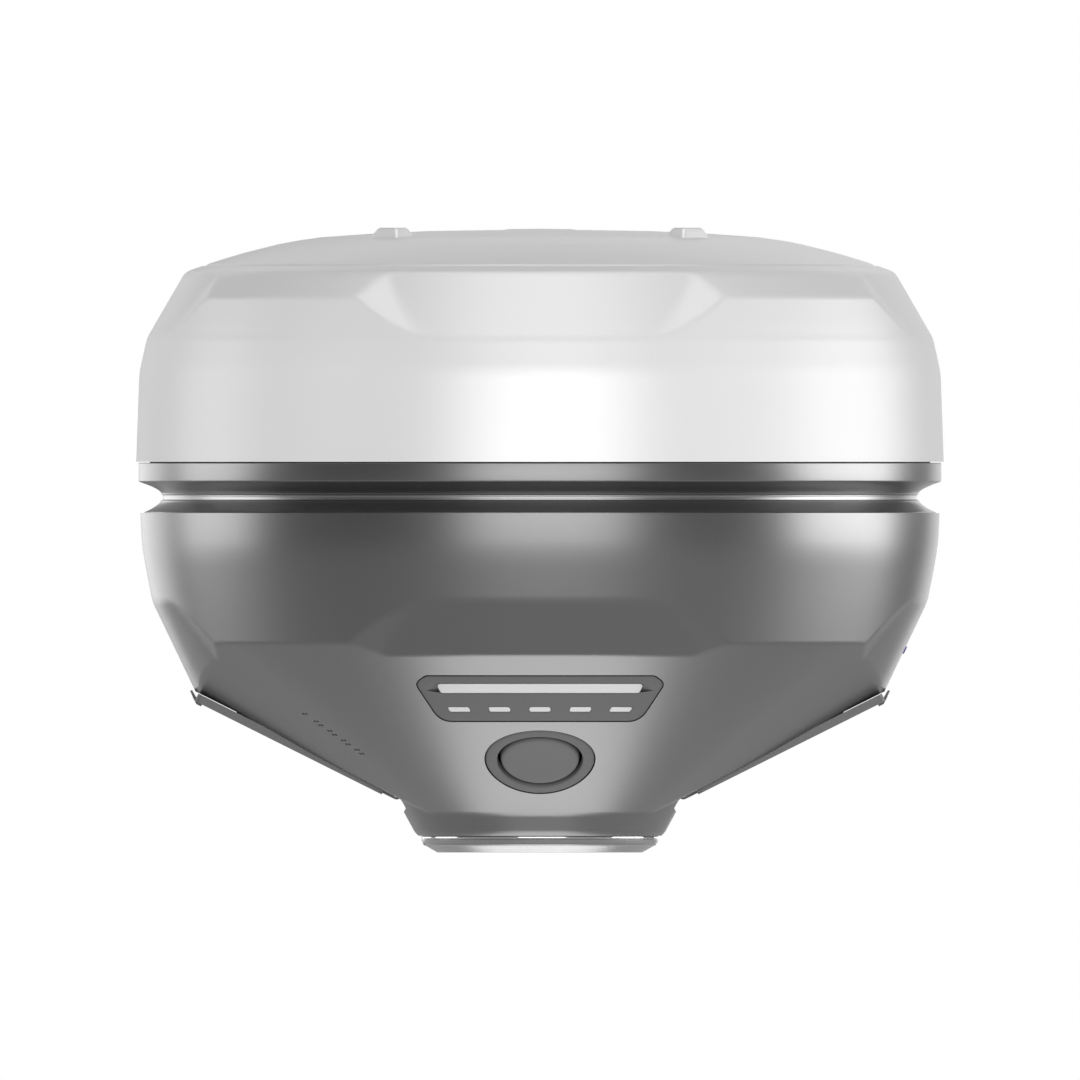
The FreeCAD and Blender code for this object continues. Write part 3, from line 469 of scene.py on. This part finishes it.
OUT = np.array([0.0, -math.cos(SLOPE), -math.sin(SLOPE)])
UP = np.array([0.0, -math.sin(SLOPE), math.cos(SLOPE)])
ACROSS = np.array([1.0, 0.0, 0.0])
BUTTON_AT = np.array([0.0, -CONE_RATIO * (BUTTON_Z - CONE_APEX), BUTTON_Z])


def cone_only(x, y, z):
    return (np.hypot(x, y) - CONE_RATIO * (z - CONE_APEX)) / math.sqrt(1 + CONE_RATIO ** 2)


def button_points(radius, steps=128):
    """A circle round the button's axis, laid on the cone along the axis."""
    a = np.linspace(0, 2 * math.pi, steps, endpoint=False)
    flat = BUTTON_AT + radius * (np.cos(a)[:, None] * ACROSS + np.sin(a)[:, None] * UP)
    return find(cone_only, flat, np.broadcast_to(OUT, flat.shape), -6.0, 3.0)


def button_turning(name, profile, material, body, steps=128):
    """A piece turned about the button's axis whose depths are counted from the cone's surface."""
    rows = []
    for radius, depth in profile:
        rows.append(button_points(max(radius, 0.001), steps) - OUT * depth)
    rows.append(rows[0])
    obj = add(name, np.concatenate(rows), grid_faces(len(rows), steps), material, body)
    weld(obj)
    crisp(obj, 40)
    return obj


# ---- materials ----

PATCH_SCALE = 14.0
GRAIN_HEIGHT = 0.00006
RING_HEIGHT = 0.00004


def new_material(name):
    m = bpy.data.materials.new(name)
    m.use_nodes = True
    n = m.node_tree.nodes
    return m, n, m.node_tree.links, n["Principled BSDF"]


def noise(nodes, links, scale, detail, coords, rough=0.5):
    t = nodes.new("ShaderNodeTexNoise")
    t.inputs["Scale"].default_value = scale
    t.inputs["Detail"].default_value = detail
    t.inputs["Roughness"].default_value = rough
    links.new(coords.outputs["Object"], t.inputs["Vector"])
    return t


def ramp(nodes, links, source, low, high, start=0.3, end=0.7):
    """A two-stop ramp between two colours or two grey values."""
    r = nodes.new("ShaderNodeValToRGB")
    r.color_ramp.elements[0].position = start
    r.color_ramp.elements[1].position = end
    r.color_ramp.elements[0].color = low
    r.color_ramp.elements[1].color = high
    links.new(source, r.inputs["Fac"])
    return r


def grey(v, a=1.0):
    return (v, v, v, a)


def moulded(name, low, high, rough, grain, bump, metallic=0.0, specular=0.5, spread=0.06):
    """Painted or moulded surface: faint tone patches between two colours, fine grain in gloss and relief."""
    m, n, l, p = new_material(name)
    coords = n.new("ShaderNodeTexCoord")
    tone = noise(n, l, PATCH_SCALE, 3.0, coords)
    l.new(ramp(n, l, tone.outputs["Fac"], low, high).outputs["Color"], p.inputs["Base Color"])
    fine = noise(n, l, grain, 4.0, coords, 0.6)
    gloss = ramp(n, l, fine.outputs["Fac"], grey(rough - spread), grey(rough + spread), 0.25, 0.75)
    l.new(gloss.outputs["Color"], p.inputs["Roughness"])
    relief = n.new("ShaderNodeBump")
    relief.inputs["Strength"].default_value = bump
    relief.inputs["Distance"].default_value = GRAIN_HEIGHT
    l.new(fine.outputs["Fac"], relief.inputs["Height"])
    l.new(relief.outputs["Normal"], p.inputs["Normal"])
    p.inputs["Metallic"].default_value = metallic
    p.inputs["Specular IOR Level"].default_value = specular
    return m


def turned_metal(name, low, high, rough, rings, bump):
    """Lathe-turned metal: fine rings about the vertical axis."""
    m, n, l, p = new_material(name)
    coords = n.new("ShaderNodeTexCoord")
    wave = n.new("ShaderNodeTexWave")
    wave.wave_type = "RINGS"
    wave.rings_direction = "Z"
    wave.inputs["Scale"].default_value = rings
    wave.inputs["Distortion"].default_value = 0.6
    wave.inputs["Detail"].default_value = 2.0
    l.new(coords.outputs["Object"], wave.inputs["Vector"])
    tone = noise(n, l, 60.0, 3.0, coords)
    l.new(ramp(n, l, tone.outputs["Fac"], low, high).outputs["Color"], p.inputs["Base Color"])
    gloss = ramp(n, l, wave.outputs["Fac"], grey(rough - 0.05), grey(rough + 0.05), 0.1, 0.9)
    l.new(gloss.outputs["Color"], p.inputs["Roughness"])
    relief = n.new("ShaderNodeBump")
    relief.inputs["Strength"].default_value = bump
    relief.inputs["Distance"].default_value = RING_HEIGHT
    l.new(wave.outputs["Fac"], relief.inputs["Height"])
    l.new(relief.outputs["Normal"], p.inputs["Normal"])
    p.inputs["Metallic"].default_value = 1.0
    return m


RADOME_WHITE = moulded("radome_white", grey(0.86), grey(0.88), 0.42, 1500.0, 0.05,
                       metallic=0.24, specular=0.4, spread=0.03)
CAP_WHITE = moulded("cap_white", grey(0.88), grey(0.90), 0.5, 1500.0, 0.05,
                    metallic=0.08, specular=0.4, spread=0.03)
HOUSING_GREY = moulded("housing_grey", grey(0.19), grey(0.205), 0.33, 2400.0, 0.05,
                       metallic=0.88, spread=0.03)
PANEL_GREY = moulded("panel_grey", grey(0.105), grey(0.115), 0.62, 3000.0, 0.12, specular=0.35)
BUTTON_GREY = moulded("button_grey", grey(0.104), grey(0.116), 0.58, 2600.0, 0.16, specular=0.35)
COVER_GREY = moulded("cover_grey", grey(0.16), grey(0.18), 0.55, 1800.0, 0.2)
SEAL_BLACK = moulded("seal_black", grey(0.02), grey(0.03), 0.6, 1500.0, 0.3)
FRAME_BLACK = moulded("frame_black", grey(0.03), grey(0.045), 0.5, 900.0, 0.35)
CHIP_BLACK = moulded("chip_black", grey(0.015), grey(0.025), 0.45, 2500.0, 0.3)
BOARD_GREEN = moulded("board_green", (0.01, 0.09, 0.04, 1), (0.02, 0.13, 0.06, 1), 0.35, 500.0, 0.3)
CELL_BLUE = moulded("cell_blue", (0.03, 0.1, 0.3, 1), (0.04, 0.13, 0.36, 1), 0.3, 300.0, 0.2)
CERAMIC = moulded("ceramic", (0.55, 0.5, 0.4, 1), (0.62, 0.57, 0.47, 1), 0.5, 900.0, 0.3)
LENS = moulded("lens", grey(0.60), grey(0.63), 0.35, 1800.0, 0.05, spread=0.03)
MARKER = moulded("marker", (0.10, 0.07, 0.42, 1), (0.13, 0.09, 0.5, 1), 0.4, 1500.0, 0.1)
STEEL = turned_metal("steel", grey(0.45), grey(0.52), 0.32, 900.0, 0.1)
GOLD = turned_metal("gold", (0.75, 0.52, 0.2, 1), (0.85, 0.62, 0.28, 1), 0.25, 900.0, 0.1)
ALUMINIUM = turned_metal("turned_aluminium", grey(0.33), grey(0.37), 0.28, 700.0, 0.08)
# Lighter grey than the housing paint: a painted highlight line at the bottom of the groove.
GROOVE_PAINTED_HIGHLIGHT = moulded("groove_painted_highlight", grey(0.27), grey(0.31), 0.3, 2000.0, 0.02,
                        metallic=0.85, spread=0.03)
POLISHED = turned_metal("polished_steel", grey(0.8), grey(0.86), 0.15, 500.0, 0.05)


# ---- housings ----

def closed_shell(name, field, centre, low, high, grid, wall, material):
    """A thin closed shell found by rays from a point on the axis, from edge low to edge high."""
    cols, rows = grid
    ang = np.linspace(0, 2 * math.pi, cols, endpoint=False)
    e0 = math.atan2(low[1] - centre, low[0])
    e1 = math.atan2(high[1] - centre, high[0])
    el = np.linspace(e0, e1, rows)
    way = np.stack([np.cos(el)[:, None] * np.sin(ang), -np.cos(el)[:, None] * np.cos(ang),
                    np.sin(el)[:, None] * np.ones(cols)], -1)
    start = np.zeros_like(way)
    start[..., 2] = centre
    skin = find(field, start, way, 1.0, 120.0)
    skin[0] = circle(*low, ang)
    skin[-1] = circle(*high, ang)
    few = np.linspace(rows - 1, 0, 40).round().astype(int)
    inner = skin[few] - slope_of(field, skin[few]) * wall
    inner[0, :, 2] = high[1]
    inner[-1, :, 2] = low[1]
    verts = np.concatenate([skin.reshape(-1, 3), inner.reshape(-1, 3)])
    count = rows + len(few)
    faces = grid_faces(count, cols)
    last = (count - 1) * cols
    faces += [(last + j, last + (j + 1) % cols, (j + 1) % cols, j) for j in range(cols)]
    return add(name, verts, faces, material)


def facet_point(u, v, n, side):
    """A point given by its distances up, across and out of a side facet."""
    c, s = math.cos(FACET_ANGLE), math.sin(FACET_ANGLE)
    x = side * (FACET_MID + u * c + n * s)
    z = (FACET_MID - FACET_START) * FACET_SLOPE + u * s - n * c
    return np.array([x, v, z])


def facet_cutter(u0, u1, half, n0, n1, radius, side):
    """A block with rounded corners that stands square to a side facet."""
    loop = rounded_loop([(u0, -half), (u1, -half), (u1, half), (u0, half)], radius, 4)
    verts = [facet_point(u, v, n0, side) for u, v in loop] + [facet_point(u, v, n1, side) for u, v in loop]
    k = len(loop)
    faces = [tuple(range(k)), tuple(range(2 * k - 1, k - 1, -1))]
    faces += [(i, i + k, (i + 1) % k + k, (i + 1) % k) for i in range(k)]
    return np.array(verts), faces


def rod(point, way, radius, length, steps=24):
    """Verts and faces of a closed rod that starts at a point."""
    way = np.asarray(way, float) / np.linalg.norm(way)
    side = np.cross(way, (0.0, 0.0, 1.0) if abs(way[2]) < 0.9 else (1.0, 0.0, 0.0))
    side /= np.linalg.norm(side)
    other = np.cross(way, side)
    a = np.linspace(0, 2 * math.pi, steps, endpoint=False)
    loop = np.asarray(point) + radius * (np.cos(a)[:, None] * side + np.sin(a)[:, None] * other)
    return prism(loop, (0.0, length), way)


def vent_rods():
    """Groups of small holes that run down the left front of the cone."""
    rods = []
    c, s = math.cos(VENT_TURN), math.sin(VENT_TURN)
    spin = np.array([[c, -s, 0], [s, c, 0], [0, 0, 1]])
    at = np.array([0.0, -CONE_RATIO * (VENT_Z - CONE_APEX), VENT_Z])
    for row in range(VENT_ROWS):
        x = VENT_FIRST[0] + VENT_STEP[0] * row
        up = VENT_FIRST[1] + VENT_STEP[1] * row
        for across in (-VENT_SPREAD[0], VENT_SPREAD[0]):
            for along in ((0.0,) if row == 0 else (-VENT_SPREAD[1], VENT_SPREAD[1])):
                p = at + ACROSS * (x + across) + UP * (up + along) + OUT * 3.0
                rods.append(rod(spin @ p, spin @ -OUT, VENT_HOLE_R, 7.0, 16))
    return rods


def build_lower_housing():
    """The shell, cut three times, because cutters that are used together may not overlap."""
    shell = closed_shell("housing_shell", housing_field, HOUSING_CENTRE_Z, NECK[0], WALL_TOP, HOUSING_GRID,
                         HOUSING_WALL, HOUSING_GREY)
    wide = [front_cutter(levels_loop(PANEL_LEVELS, SEAM, PANEL_ROUNDS))] + vent_rods()
    deep = [rod(BUTTON_AT + OUT * CLEAR, -OUT, BEZEL_R + SEAM, 14.0, 128)]
    for side in (-1, 1):
        wide.append(facet_cutter(*SEAT_U, SEAT_HALF, -SEAT_DEPTH, CLEAR, 1.0, side))
        deep.append(facet_cutter(*NOTCH_U, NOTCH_HALF, -NOTCH_DEPTH, CLEAR, 0.3, side))
    carve(shell, raw("housing_cuts_wide", *joined(wide)))
    carve(shell, raw("housing_cuts_deep", *joined(deep)))
    pockets = [facet_cutter(*POCKET_U, POCKET_HALF, -CLEAR, CLEAR, 2.0, side) for side in (-1, 1)]
    carve(shell, raw("housing_cuts_pocket", *joined(pockets)))
    fair_normals(shell, housing_field)
    return shell


def square_port(port, side):
    """A cutter for an opening with straight sides in the floor of a pocket."""
    low, high, half, radius = port
    return facet_cutter(low, high, half, -POCKET_DEPTH - 3.0, -POCKET_DEPTH + 1.0, radius, side)


def round_port(port, side):
    """A cutter for a round opening in the floor of a pocket."""
    u, radius = port
    start = facet_point(u, 0.0, -POCKET_DEPTH + 1.0, side)
    return rod(start, facet_point(u, 0.0, -POCKET_DEPTH, side) - start, radius, 4.0, 48)


def build_pockets():
    """The wells under the covers, with an opening for each port."""
    low, high = POCKET_U
    ports = {
        -1: [square_port(USB_PORT, -1), square_port(SIM_PORT, -1)],
        1: [round_port(SERIAL_PORT, 1), round_port(RADIO_PORT, 1)],
    }
    for side, name in ((-1, "left_well"), (1, "right_well")):
        block = facet_cutter(low - 1.0, high + 1.0, POCKET_HALF + 1.0, -POCKET_DEPTH - 1.2, -2.2, 2.5, side)
        well = add(name, *block, HOUSING_GREY)
        weld(well)
        hollow = facet_cutter(low, high, POCKET_HALF, -POCKET_DEPTH, 0.0, 2.0, side)
        carve(well, raw("well_hollow", *hollow))
        carve(well, raw("well_ports", *joined(ports[side])))
        crisp(well, 30)
        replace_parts(well, "lower_housing")


def build_radome():
    cap_edge = (CAP_R + SEAM, CAP_SEAT_Z)
    shell = closed_shell("radome_shell", radome_field, RADOME_CENTRE_Z, RADOME_BASE, cap_edge, RADOME_GRID,
                         RADOME_WALL, RADOME_WHITE)
    fair_normals(shell, radome_field)
    return shell


def build_covers():
    """The covers and their seals keep their shapes; the covers get small rounds on their edges."""
    for name in ("left_cover", "right_cover"):
        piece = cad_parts[name]
        bevel = piece.modifiers.new("soft_edges", "BEVEL")
        bevel.width = 0.00025
        bevel.segments = 3
        bevel.angle_limit = math.radians(40)
        bevel.harden_normals = True


def build_waist():
    """The groove between the housings is a cove: its walls turn upright at a thin ring that is painted
    lighter than the housing as a painted highlight line.
    """
    foot = WALL_TOP[1]
    low = [(71.6, foot), (71.4, 61.55), (70.6, 61.9), (69.8, 62.35), (69.1, 62.85), (68.65, 63.3),
           (68.45, GROOVE_LOW)]
    collar = lathe("collar_ring", [(63.0, foot)] + low + [(63.0, GROOVE_LOW)], HOUSING_GREY, steps=FINE_STEPS)
    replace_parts(collar, "lower_collar")

    # This ring has the same paint as the housing but is coloured a lighter grey, as a painted highlight along
    # the bottom of the groove.
    painted_highlight_band = [(66.0, GROOVE_LOW), (68.2, GROOVE_LOW), (68.1, 64.15), (68.2, GROOVE_HIGH), (66.0, GROOVE_HIGH)]
    waist = lathe("groove_ring", painted_highlight_band, GROOVE_PAINTED_HIGHLIGHT, steps=FINE_STEPS)
    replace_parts(waist, "waist_ring")

    bottom, top = CHASSIS_FLOOR
    cove = [(60.0, GROOVE_HIGH), (68.3, GROOVE_HIGH), (68.4, 64.95), (68.75, 65.35), (69.35, 65.75),
            (70.2, 66.15), (71.2, 66.55), (72.2, 66.9), CHASSIS_EDGE]
    rim = [(CHASSIS_EDGE[0], CHASSIS_TOP), (60.0, CHASSIS_TOP), (60.0, top), (0.0, top)]
    chassis = lathe("chassis_ring", [(0.0, bottom), (60.0, bottom)] + cove + rim, HOUSING_GREY,
                    steps=FINE_STEPS, round_r=0.2)
    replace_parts(chassis, "upper_chassis")

    # The seal stands up inside the radome and closes the view through the seam.
    upright = [(68.35, CHASSIS_TOP), (70.5, CHASSIS_TOP), (70.5, 70.95), (68.35, 70.95)]
    seal = lathe("seam_seal", upright, SEAL_BLACK, steps=FINE_STEPS, round_r=0.05)
    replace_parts(seal, "radome_gasket")


def build_mount():
    disc = [(PLATE_HOLE_R, 0.0), (18.5, 0.0), (20.6, 1.2), (21.05, 1.35), (21.5, PLATE_TOP),
            (PLATE_HOLE_R, PLATE_TOP)]
    plate = lathe("mount_disc", disc, ALUMINIUM, round_r=0.12)
    sinks = []
    for k in range(4):
        a = math.radians(45 + 90 * k)
        at = np.array([SCREW_CIRCLE_R * math.cos(a), SCREW_CIRCLE_R * math.sin(a), -0.2])
        sinks.append(rod(at, (0, 0, 1), SCREW_SINK_R, 3.5, 48))
    carve(plate, raw("mount_sinks", *joined(sinks)))
    crisp(plate, 35)
    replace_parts(plate, "mount_plate")
    band = [(19.2, PLATE_TOP), (21.35, PLATE_TOP), (21.42, 2.75), (21.3, 3.0), (19.2, 3.0)]
    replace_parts(lathe("seat_ring", band, POLISHED), "polished_ring")


def build_thread():
    """Pole socket with a real helical thread: 11 turns to the inch."""
    pitch, major, minor, depth = 25.4 / 11, 7.94, 6.8, 19.0
    steps, per_turn = 64, 10
    rows = []
    levels = int(depth / pitch * per_turn)
    ang = np.linspace(0, 2 * math.pi, steps, endpoint=False)
    for i in range(levels + 1):
        z = depth * i / levels
        phase = (z / pitch - ang / (2 * math.pi)) % 1.0
        ridge = np.clip(1.15 - np.abs(phase - 0.5) * 3.2, 0.0, 1.0)
        r = major - (major - minor) * ridge
        if z < 0.7:
            r = np.maximum(r, minor + (0.7 - z) * 2.0)
        rows.append(circle(r, z, ang))
    top = [(0.02, depth), (0.02, 22.0), (10.7, 22.0), (11.0, 21.7), (11.0, 0.2), (10.8, 0.0)]
    for r, z in top:
        rows.append(circle(r, z, ang))
    rows.append(rows[0])
    insert = add("thread_socket", np.concatenate(rows), grid_faces(len(rows), steps), ALUMINIUM)
    weld(insert)
    crisp(insert, 30)
    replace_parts(insert, "thread_insert")


def build_panel():
    outline = levels_loop(PANEL_LEVELS, 0.0, PANEL_ROUNDS)
    panel = cone_slab("status_panel", outline, 0.06, 1.45, 0.22, PANEL_GREY)
    holes = [front_cutter(levels_loop(BAR_LEVELS, 0.05, BAR_ROUNDS))]
    for k in range(-2, 3):
        holes.append(front_cutter(led_loop(k, 0.05)))
    carve(panel, raw("panel_cuts", *joined(holes)))
    carve(panel, raw("panel_ramps", *joined([ramp_cutter(-1), ramp_cutter(1)])))
    crisp(panel, 40)
    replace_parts(panel, "led_panel")
    bar = cone_slab("bar_lens", levels_loop(BAR_LEVELS, 0.0, BAR_ROUNDS), 0.12, 3.0, 0.12, LENS)
    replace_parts(bar, "light_bar")
    for k in range(-2, 3):
        lens = cone_slab("led_lens_%d" % (k + 2), led_loop(k, 0.0), 0.1, 3.0, 0.1, LENS)
        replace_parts(lens, "status_leds")


def led_loop(k, grow):
    """Outline of a status light, counted from the middle one; the outer ones lean outwards."""
    x = k * LED_PITCH
    lean = 0.28 * k / 2
    low, top = LED_LEVELS[1] - grow, LED_LEVELS[0] + grow
    half = LED_HALF + grow
    loop = [(x + half + lean, top), (x + half - lean, low), (x - half - lean, low), (x - half + lean, top)]
    return rounded_loop(loop, 0.5)


def build_button():
    bezel = button_turning("button_ring", [(9.82, 1.4), (9.86, 0.25), (9.78, 0.1), (9.6, 0.03), (9.3, 0.0),
                                           (8.8, 0.0), (8.3, 0.0), (7.95, 0.03), (7.76, 0.16), (7.68, 0.4),
                                           (7.66, 1.4)], PANEL_GREY, BODY)
    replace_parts(bezel, "button_bezel")
    rows = [(8.6, 4.5), (7.12, 4.4), (7.1, 0.7), (7.02, 0.36), (6.86, 0.2), (6.6, 0.13), (6.0, 0.12),
            (5.0, 0.16), (3.5, 0.2), (2.0, 0.23), (1.0, 0.24), (0.0, 0.24)]
    cap = button_turning("button_face", rows + [(0.0, 5.5), (8.6, 5.5)], BUTTON_GREY, "power_button")
    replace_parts(cap, "button_cap")


def foot_piece(angle):
    """A trapezoid bump on the dome with rounded edges."""
    # height, half length and half width from the root upwards
    levels = [(-2.8, 3.4, 4.4), (0.0, 3.2, 4.2), (0.35, 3.0, 4.0), (2.2, 2.1, 3.0), (2.75, 1.8, 2.65),
              (3.05, 1.45, 2.3)]
    a = math.radians(angle)
    rows = []
    for z, hx, hy in levels:
        loop = rounded_loop([(-hx, -hy), (hx, -hy), (hx, hy), (-hx, hy)], 0.9, 5)
        pts = np.array([(p[0] + FOOT_AT * math.sqrt(2), p[1], z + FOOT_TOP - 3.05) for p in loop])
        rows.append(np.stack([pts[:, 0] * math.cos(a) - pts[:, 1] * math.sin(a),
                              pts[:, 0] * math.sin(a) + pts[:, 1] * math.cos(a), pts[:, 2]], -1))
    n = len(rows[0])
    faces = grid_faces(len(rows), n)
    faces.append(tuple(range(n)))
    faces.append(tuple(range(len(rows) * n - 1, (len(rows) - 1) * n - 1, -1)))
    foot = add("dome_foot_%d" % angle, np.concatenate(rows), faces, RADOME_WHITE)
    weld(foot)
    crisp(foot, 50)
    return foot


def build_dome_top():
    rs = np.array([CAP_R - SEAM] + list(np.linspace(CAP_R - 0.4, PLUG_R + 0.3, 16)) + [PLUG_R + 0.1])
    top = [(r, float(np.interp(r, DOME_R, DOME_Z))) for r in rs]
    top[0] = (top[0][0], top[0][1] - 0.15)
    top[-1] = (top[-1][0], top[-1][1] - 0.12)
    under = [(PLUG_R + 0.1, 111.4), (20.0, 111.2), (30.0, 110.75), (CAP_R - SEAM, 110.1)]
    cap = lathe("dome_cap", top + under, CAP_WHITE, steps=256, round_r=0.05)
    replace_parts(cap, "top_cap")
    disc = [(0.0, 111.4), (6.5, 111.4), (6.55, 112.35), (6.3, 112.55), (5.6, 112.65), (0.0, 112.72)]
    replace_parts(lathe("dome_plug", disc, CAP_WHITE, steps=96, round_r=0.08), "centre_plug")
    for k in range(4):
        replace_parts(foot_piece(45 + 90 * k), "radome_feet")


# The CAD nodes that are shown as they are.
MATERIALS = {
    "mount_screws": STEEL, "main_gasket": SEAL_BLACK, "chassis_screws": STEEL,
    "front_board": BOARD_GREEN, "led_emitters": CERAMIC, "button_stem": FRAME_BLACK,
    "tactile_switch": CHIP_BLACK, "vent_membrane": CERAMIC, "port_marker": MARKER,
    "left_cover": COVER_GREY, "right_cover": COVER_GREY, "left_cover_seal": SEAL_BLACK,
    "right_cover_seal": SEAL_BLACK, "left_hinge_pin": STEEL, "right_hinge_pin": STEEL,
    "usb_socket": STEEL, "sim_tray": FRAME_BLACK, "left_port_board": BOARD_GREEN, "serial_socket": GOLD,
    "radio_connector": GOLD, "right_port_board": BOARD_GREEN, "battery_cells": CELL_BLUE,
    "battery_cradle": FRAME_BLACK, "battery_strap": FRAME_BLACK, "battery_plates": STEEL,
    "main_board": BOARD_GREEN, "pcb_standoffs": STEEL, "pcb_screws": STEEL, "gnss_shield": STEEL,
    "modem_shield": STEEL, "board_chips": CHIP_BLACK, "buzzer": CHIP_BLACK, "ground_plate": ALUMINIUM,
    "plate_spacers": STEEL, "plate_screws": STEEL, "antenna_support": FRAME_BLACK,
    "antenna_board": BOARD_GREEN, "antenna_arms": GOLD, "upper_patch": CERAMIC,
    "patch_posts": FRAME_BLACK, "feed_pins": GOLD, "lna_shield": STEEL, "side_antennas": BOARD_GREEN,
}


def dress_nodes():
    """Gives each carried-over node its material."""
    for name, material in MATERIALS.items():
        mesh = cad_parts[name].data
        mesh.materials.clear()
        mesh.materials.append(material)


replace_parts(build_lower_housing(), "lower_housing")
build_pockets()
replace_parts(build_radome(), "radome")
build_dome_top()
build_waist()
build_mount()
build_thread()
build_panel()
build_button()
build_covers()
dress_nodes()


# ---- camera, light and floor, in metres and degrees ----

VIEW_Z = 0.05647
VIEW_WIDTH = 0.19516
VIEW_DISTANCE = 1.2
SIDE_ELEVATION = 6
WHITE_SHARE = 0.4
AMBIENT = 0.165
FLOOR_R = 1.6
FLOOR_Z = -0.17
FLOOR_SIDES = 120


def aim(obj, target):
    way = Vector(target) - obj.location
    obj.rotation_mode = "QUATERNION"
    obj.rotation_quaternion = way.to_track_quat("-Z", "Y")


def build_camera():
    """The photo's view: level from the front, without perspective."""
    cam = bpy.data.objects.new("camera", bpy.data.cameras.new("camera"))
    bpy.context.collection.objects.link(cam)
    cam.data.type = "ORTHO"
    cam.data.ortho_scale = VIEW_WIDTH
    cam.location = (0.0, -VIEW_DISTANCE, VIEW_Z)
    aim(cam, (0.0, 0.0, VIEW_Z))
    cam.data.clip_start = 0.01
    cam.data.clip_end = 10.0
    bpy.context.scene.camera = cam


def area(name, azimuth, elevation, distance, width, height, radiance, target=(0, 0, 0.06)):
    """A softbox round the object. Azimuth 0 is in front, positive to the right."""
    light = bpy.data.lights.new(name, "AREA")
    light.shape = "RECTANGLE"
    light.size = width
    light.size_y = height
    light.energy = radiance * math.pi * width * height
    obj = bpy.data.objects.new(name, light)
    bpy.context.collection.objects.link(obj)
    a, e = math.radians(azimuth), math.radians(elevation)
    back = Vector((math.sin(a) * math.cos(e), -math.cos(a) * math.cos(e), math.sin(e)))
    obj.location = Vector(target) + back * distance
    aim(obj, target)
    obj.visible_camera = False
    return obj


def light_set(name, pieces):
    """A collection of pieces for light linking."""
    group = bpy.data.collections.new(name)
    for piece in pieces:
        group.objects.link(bpy.data.objects[piece])
    return group


WHITE_PIECES = ("radome_shell", "dome_cap", "dome_plug")
RADOME_ONLY = light_set("white_parts", WHITE_PIECES)
ALL_BUT_RADOME = light_set("grey_parts", WHITE_PIECES)
for link in ALL_BUT_RADOME.collection_objects:
    link.light_linking.link_state = "EXCLUDE"


def grey_area(*values):
    """A softbox for everything but the white radome."""
    area(*values).light_linking.receiver_collection = ALL_BUT_RADOME


def white_area(*values):
    """A softbox for the white radome only."""
    area(*values).light_linking.receiver_collection = RADOME_ONLY


def side_area(name, azimuth, width, height, radiance):
    """A side softbox that is weaker on the white radome than on the grey parts."""
    grey_area(name, azimuth, SIDE_ELEVATION, 1.0, width, height, radiance)
    white_area(name + "_white", azimuth, SIDE_ELEVATION, 1.0, width, height, radiance * WHITE_SHARE)


def build_lights():
    area("front_box", 2, 3, 1.0, 0.84, 0.60, 3.0)
    side_area("right_box", 98, 0.80, 0.56, 5.3)
    side_area("left_box", -106, 0.6, 0.56, 3.4)
    side_area("left_back_box", -150, 0.6, 0.56, 2.0)
    side_area("right_back_box", 165, 0.6, 0.56, 1.5)
    grey_area("top_box", 0, 81, 1.1, 0.55, 0.9, 2.6)
    white_area("top_box_white", 0, 86, 1.1, 0.9, 0.9, 0.9)
    white_area("crown_box", 0, 55, 1.0, 0.7, 0.4, 1.3)
    white_area("behind_box", 180, 28, 1.2, 1.0, 0.4, 0.9)
    white_area("left_fill", -62, 12, 1.0, 0.5, 0.6, 0.7)
    white_area("right_fill", 58, 12, 1.0, 0.5, 0.6, 0.85)
    area("under_box", 180, -80, 0.16, 0.12, 0.20, 2.0, (0, -0.02, 0.02))


def build_floor():
    """The floor lies below the receiver, which is used on a pole, so that open covers hang clear of it."""
    turns = [2 * math.pi * k / FLOOR_SIDES for k in range(FLOOR_SIDES)]
    mesh = bpy.data.meshes.new("floor")
    corners = [(FLOOR_R * math.cos(a), FLOOR_R * math.sin(a), 0) for a in turns]
    mesh.from_pydata(corners, [], [tuple(range(FLOOR_SIDES))])
    floor = bpy.data.objects.new("floor", mesh)
    bpy.context.collection.objects.link(floor)
    floor.location.z = FLOOR_Z
    mesh.materials.append(moulded("floor_pale", grey(0.36), grey(0.38), 0.8, 40.0, 0.05))
    lamp = area("floor_box", 0, 90, 1.3, 3.2, 3.2, 0.9)
    lamp.light_linking.receiver_collection = light_set("floor_only", ("floor",))


def build_world():
    """Even, dim surroundings that the camera itself sees as white."""
    world = bpy.data.worlds.new("studio")
    bpy.context.scene.world = world
    world.use_nodes = True
    nodes, links = world.node_tree.nodes, world.node_tree.links
    sky = nodes["Background"]
    sky.inputs["Color"].default_value = grey(1.0)
    sky.inputs["Strength"].default_value = AMBIENT
    seen = nodes.new("ShaderNodeBackground")
    seen.inputs["Color"].default_value = grey(1.0)
    path = nodes.new("ShaderNodeLightPath")
    pick = nodes.new("ShaderNodeMixShader")
    links.new(path.outputs["Is Camera Ray"], pick.inputs["Fac"])
    links.new(sky.outputs["Background"], pick.inputs[1])
    links.new(seen.outputs["Background"], pick.inputs[2])
    links.new(pick.outputs["Shader"], nodes["World Output"].inputs["Surface"])


build_camera()
build_lights()
build_floor()
build_world()
bpy.context.scene.view_settings.view_transform = "Standard"
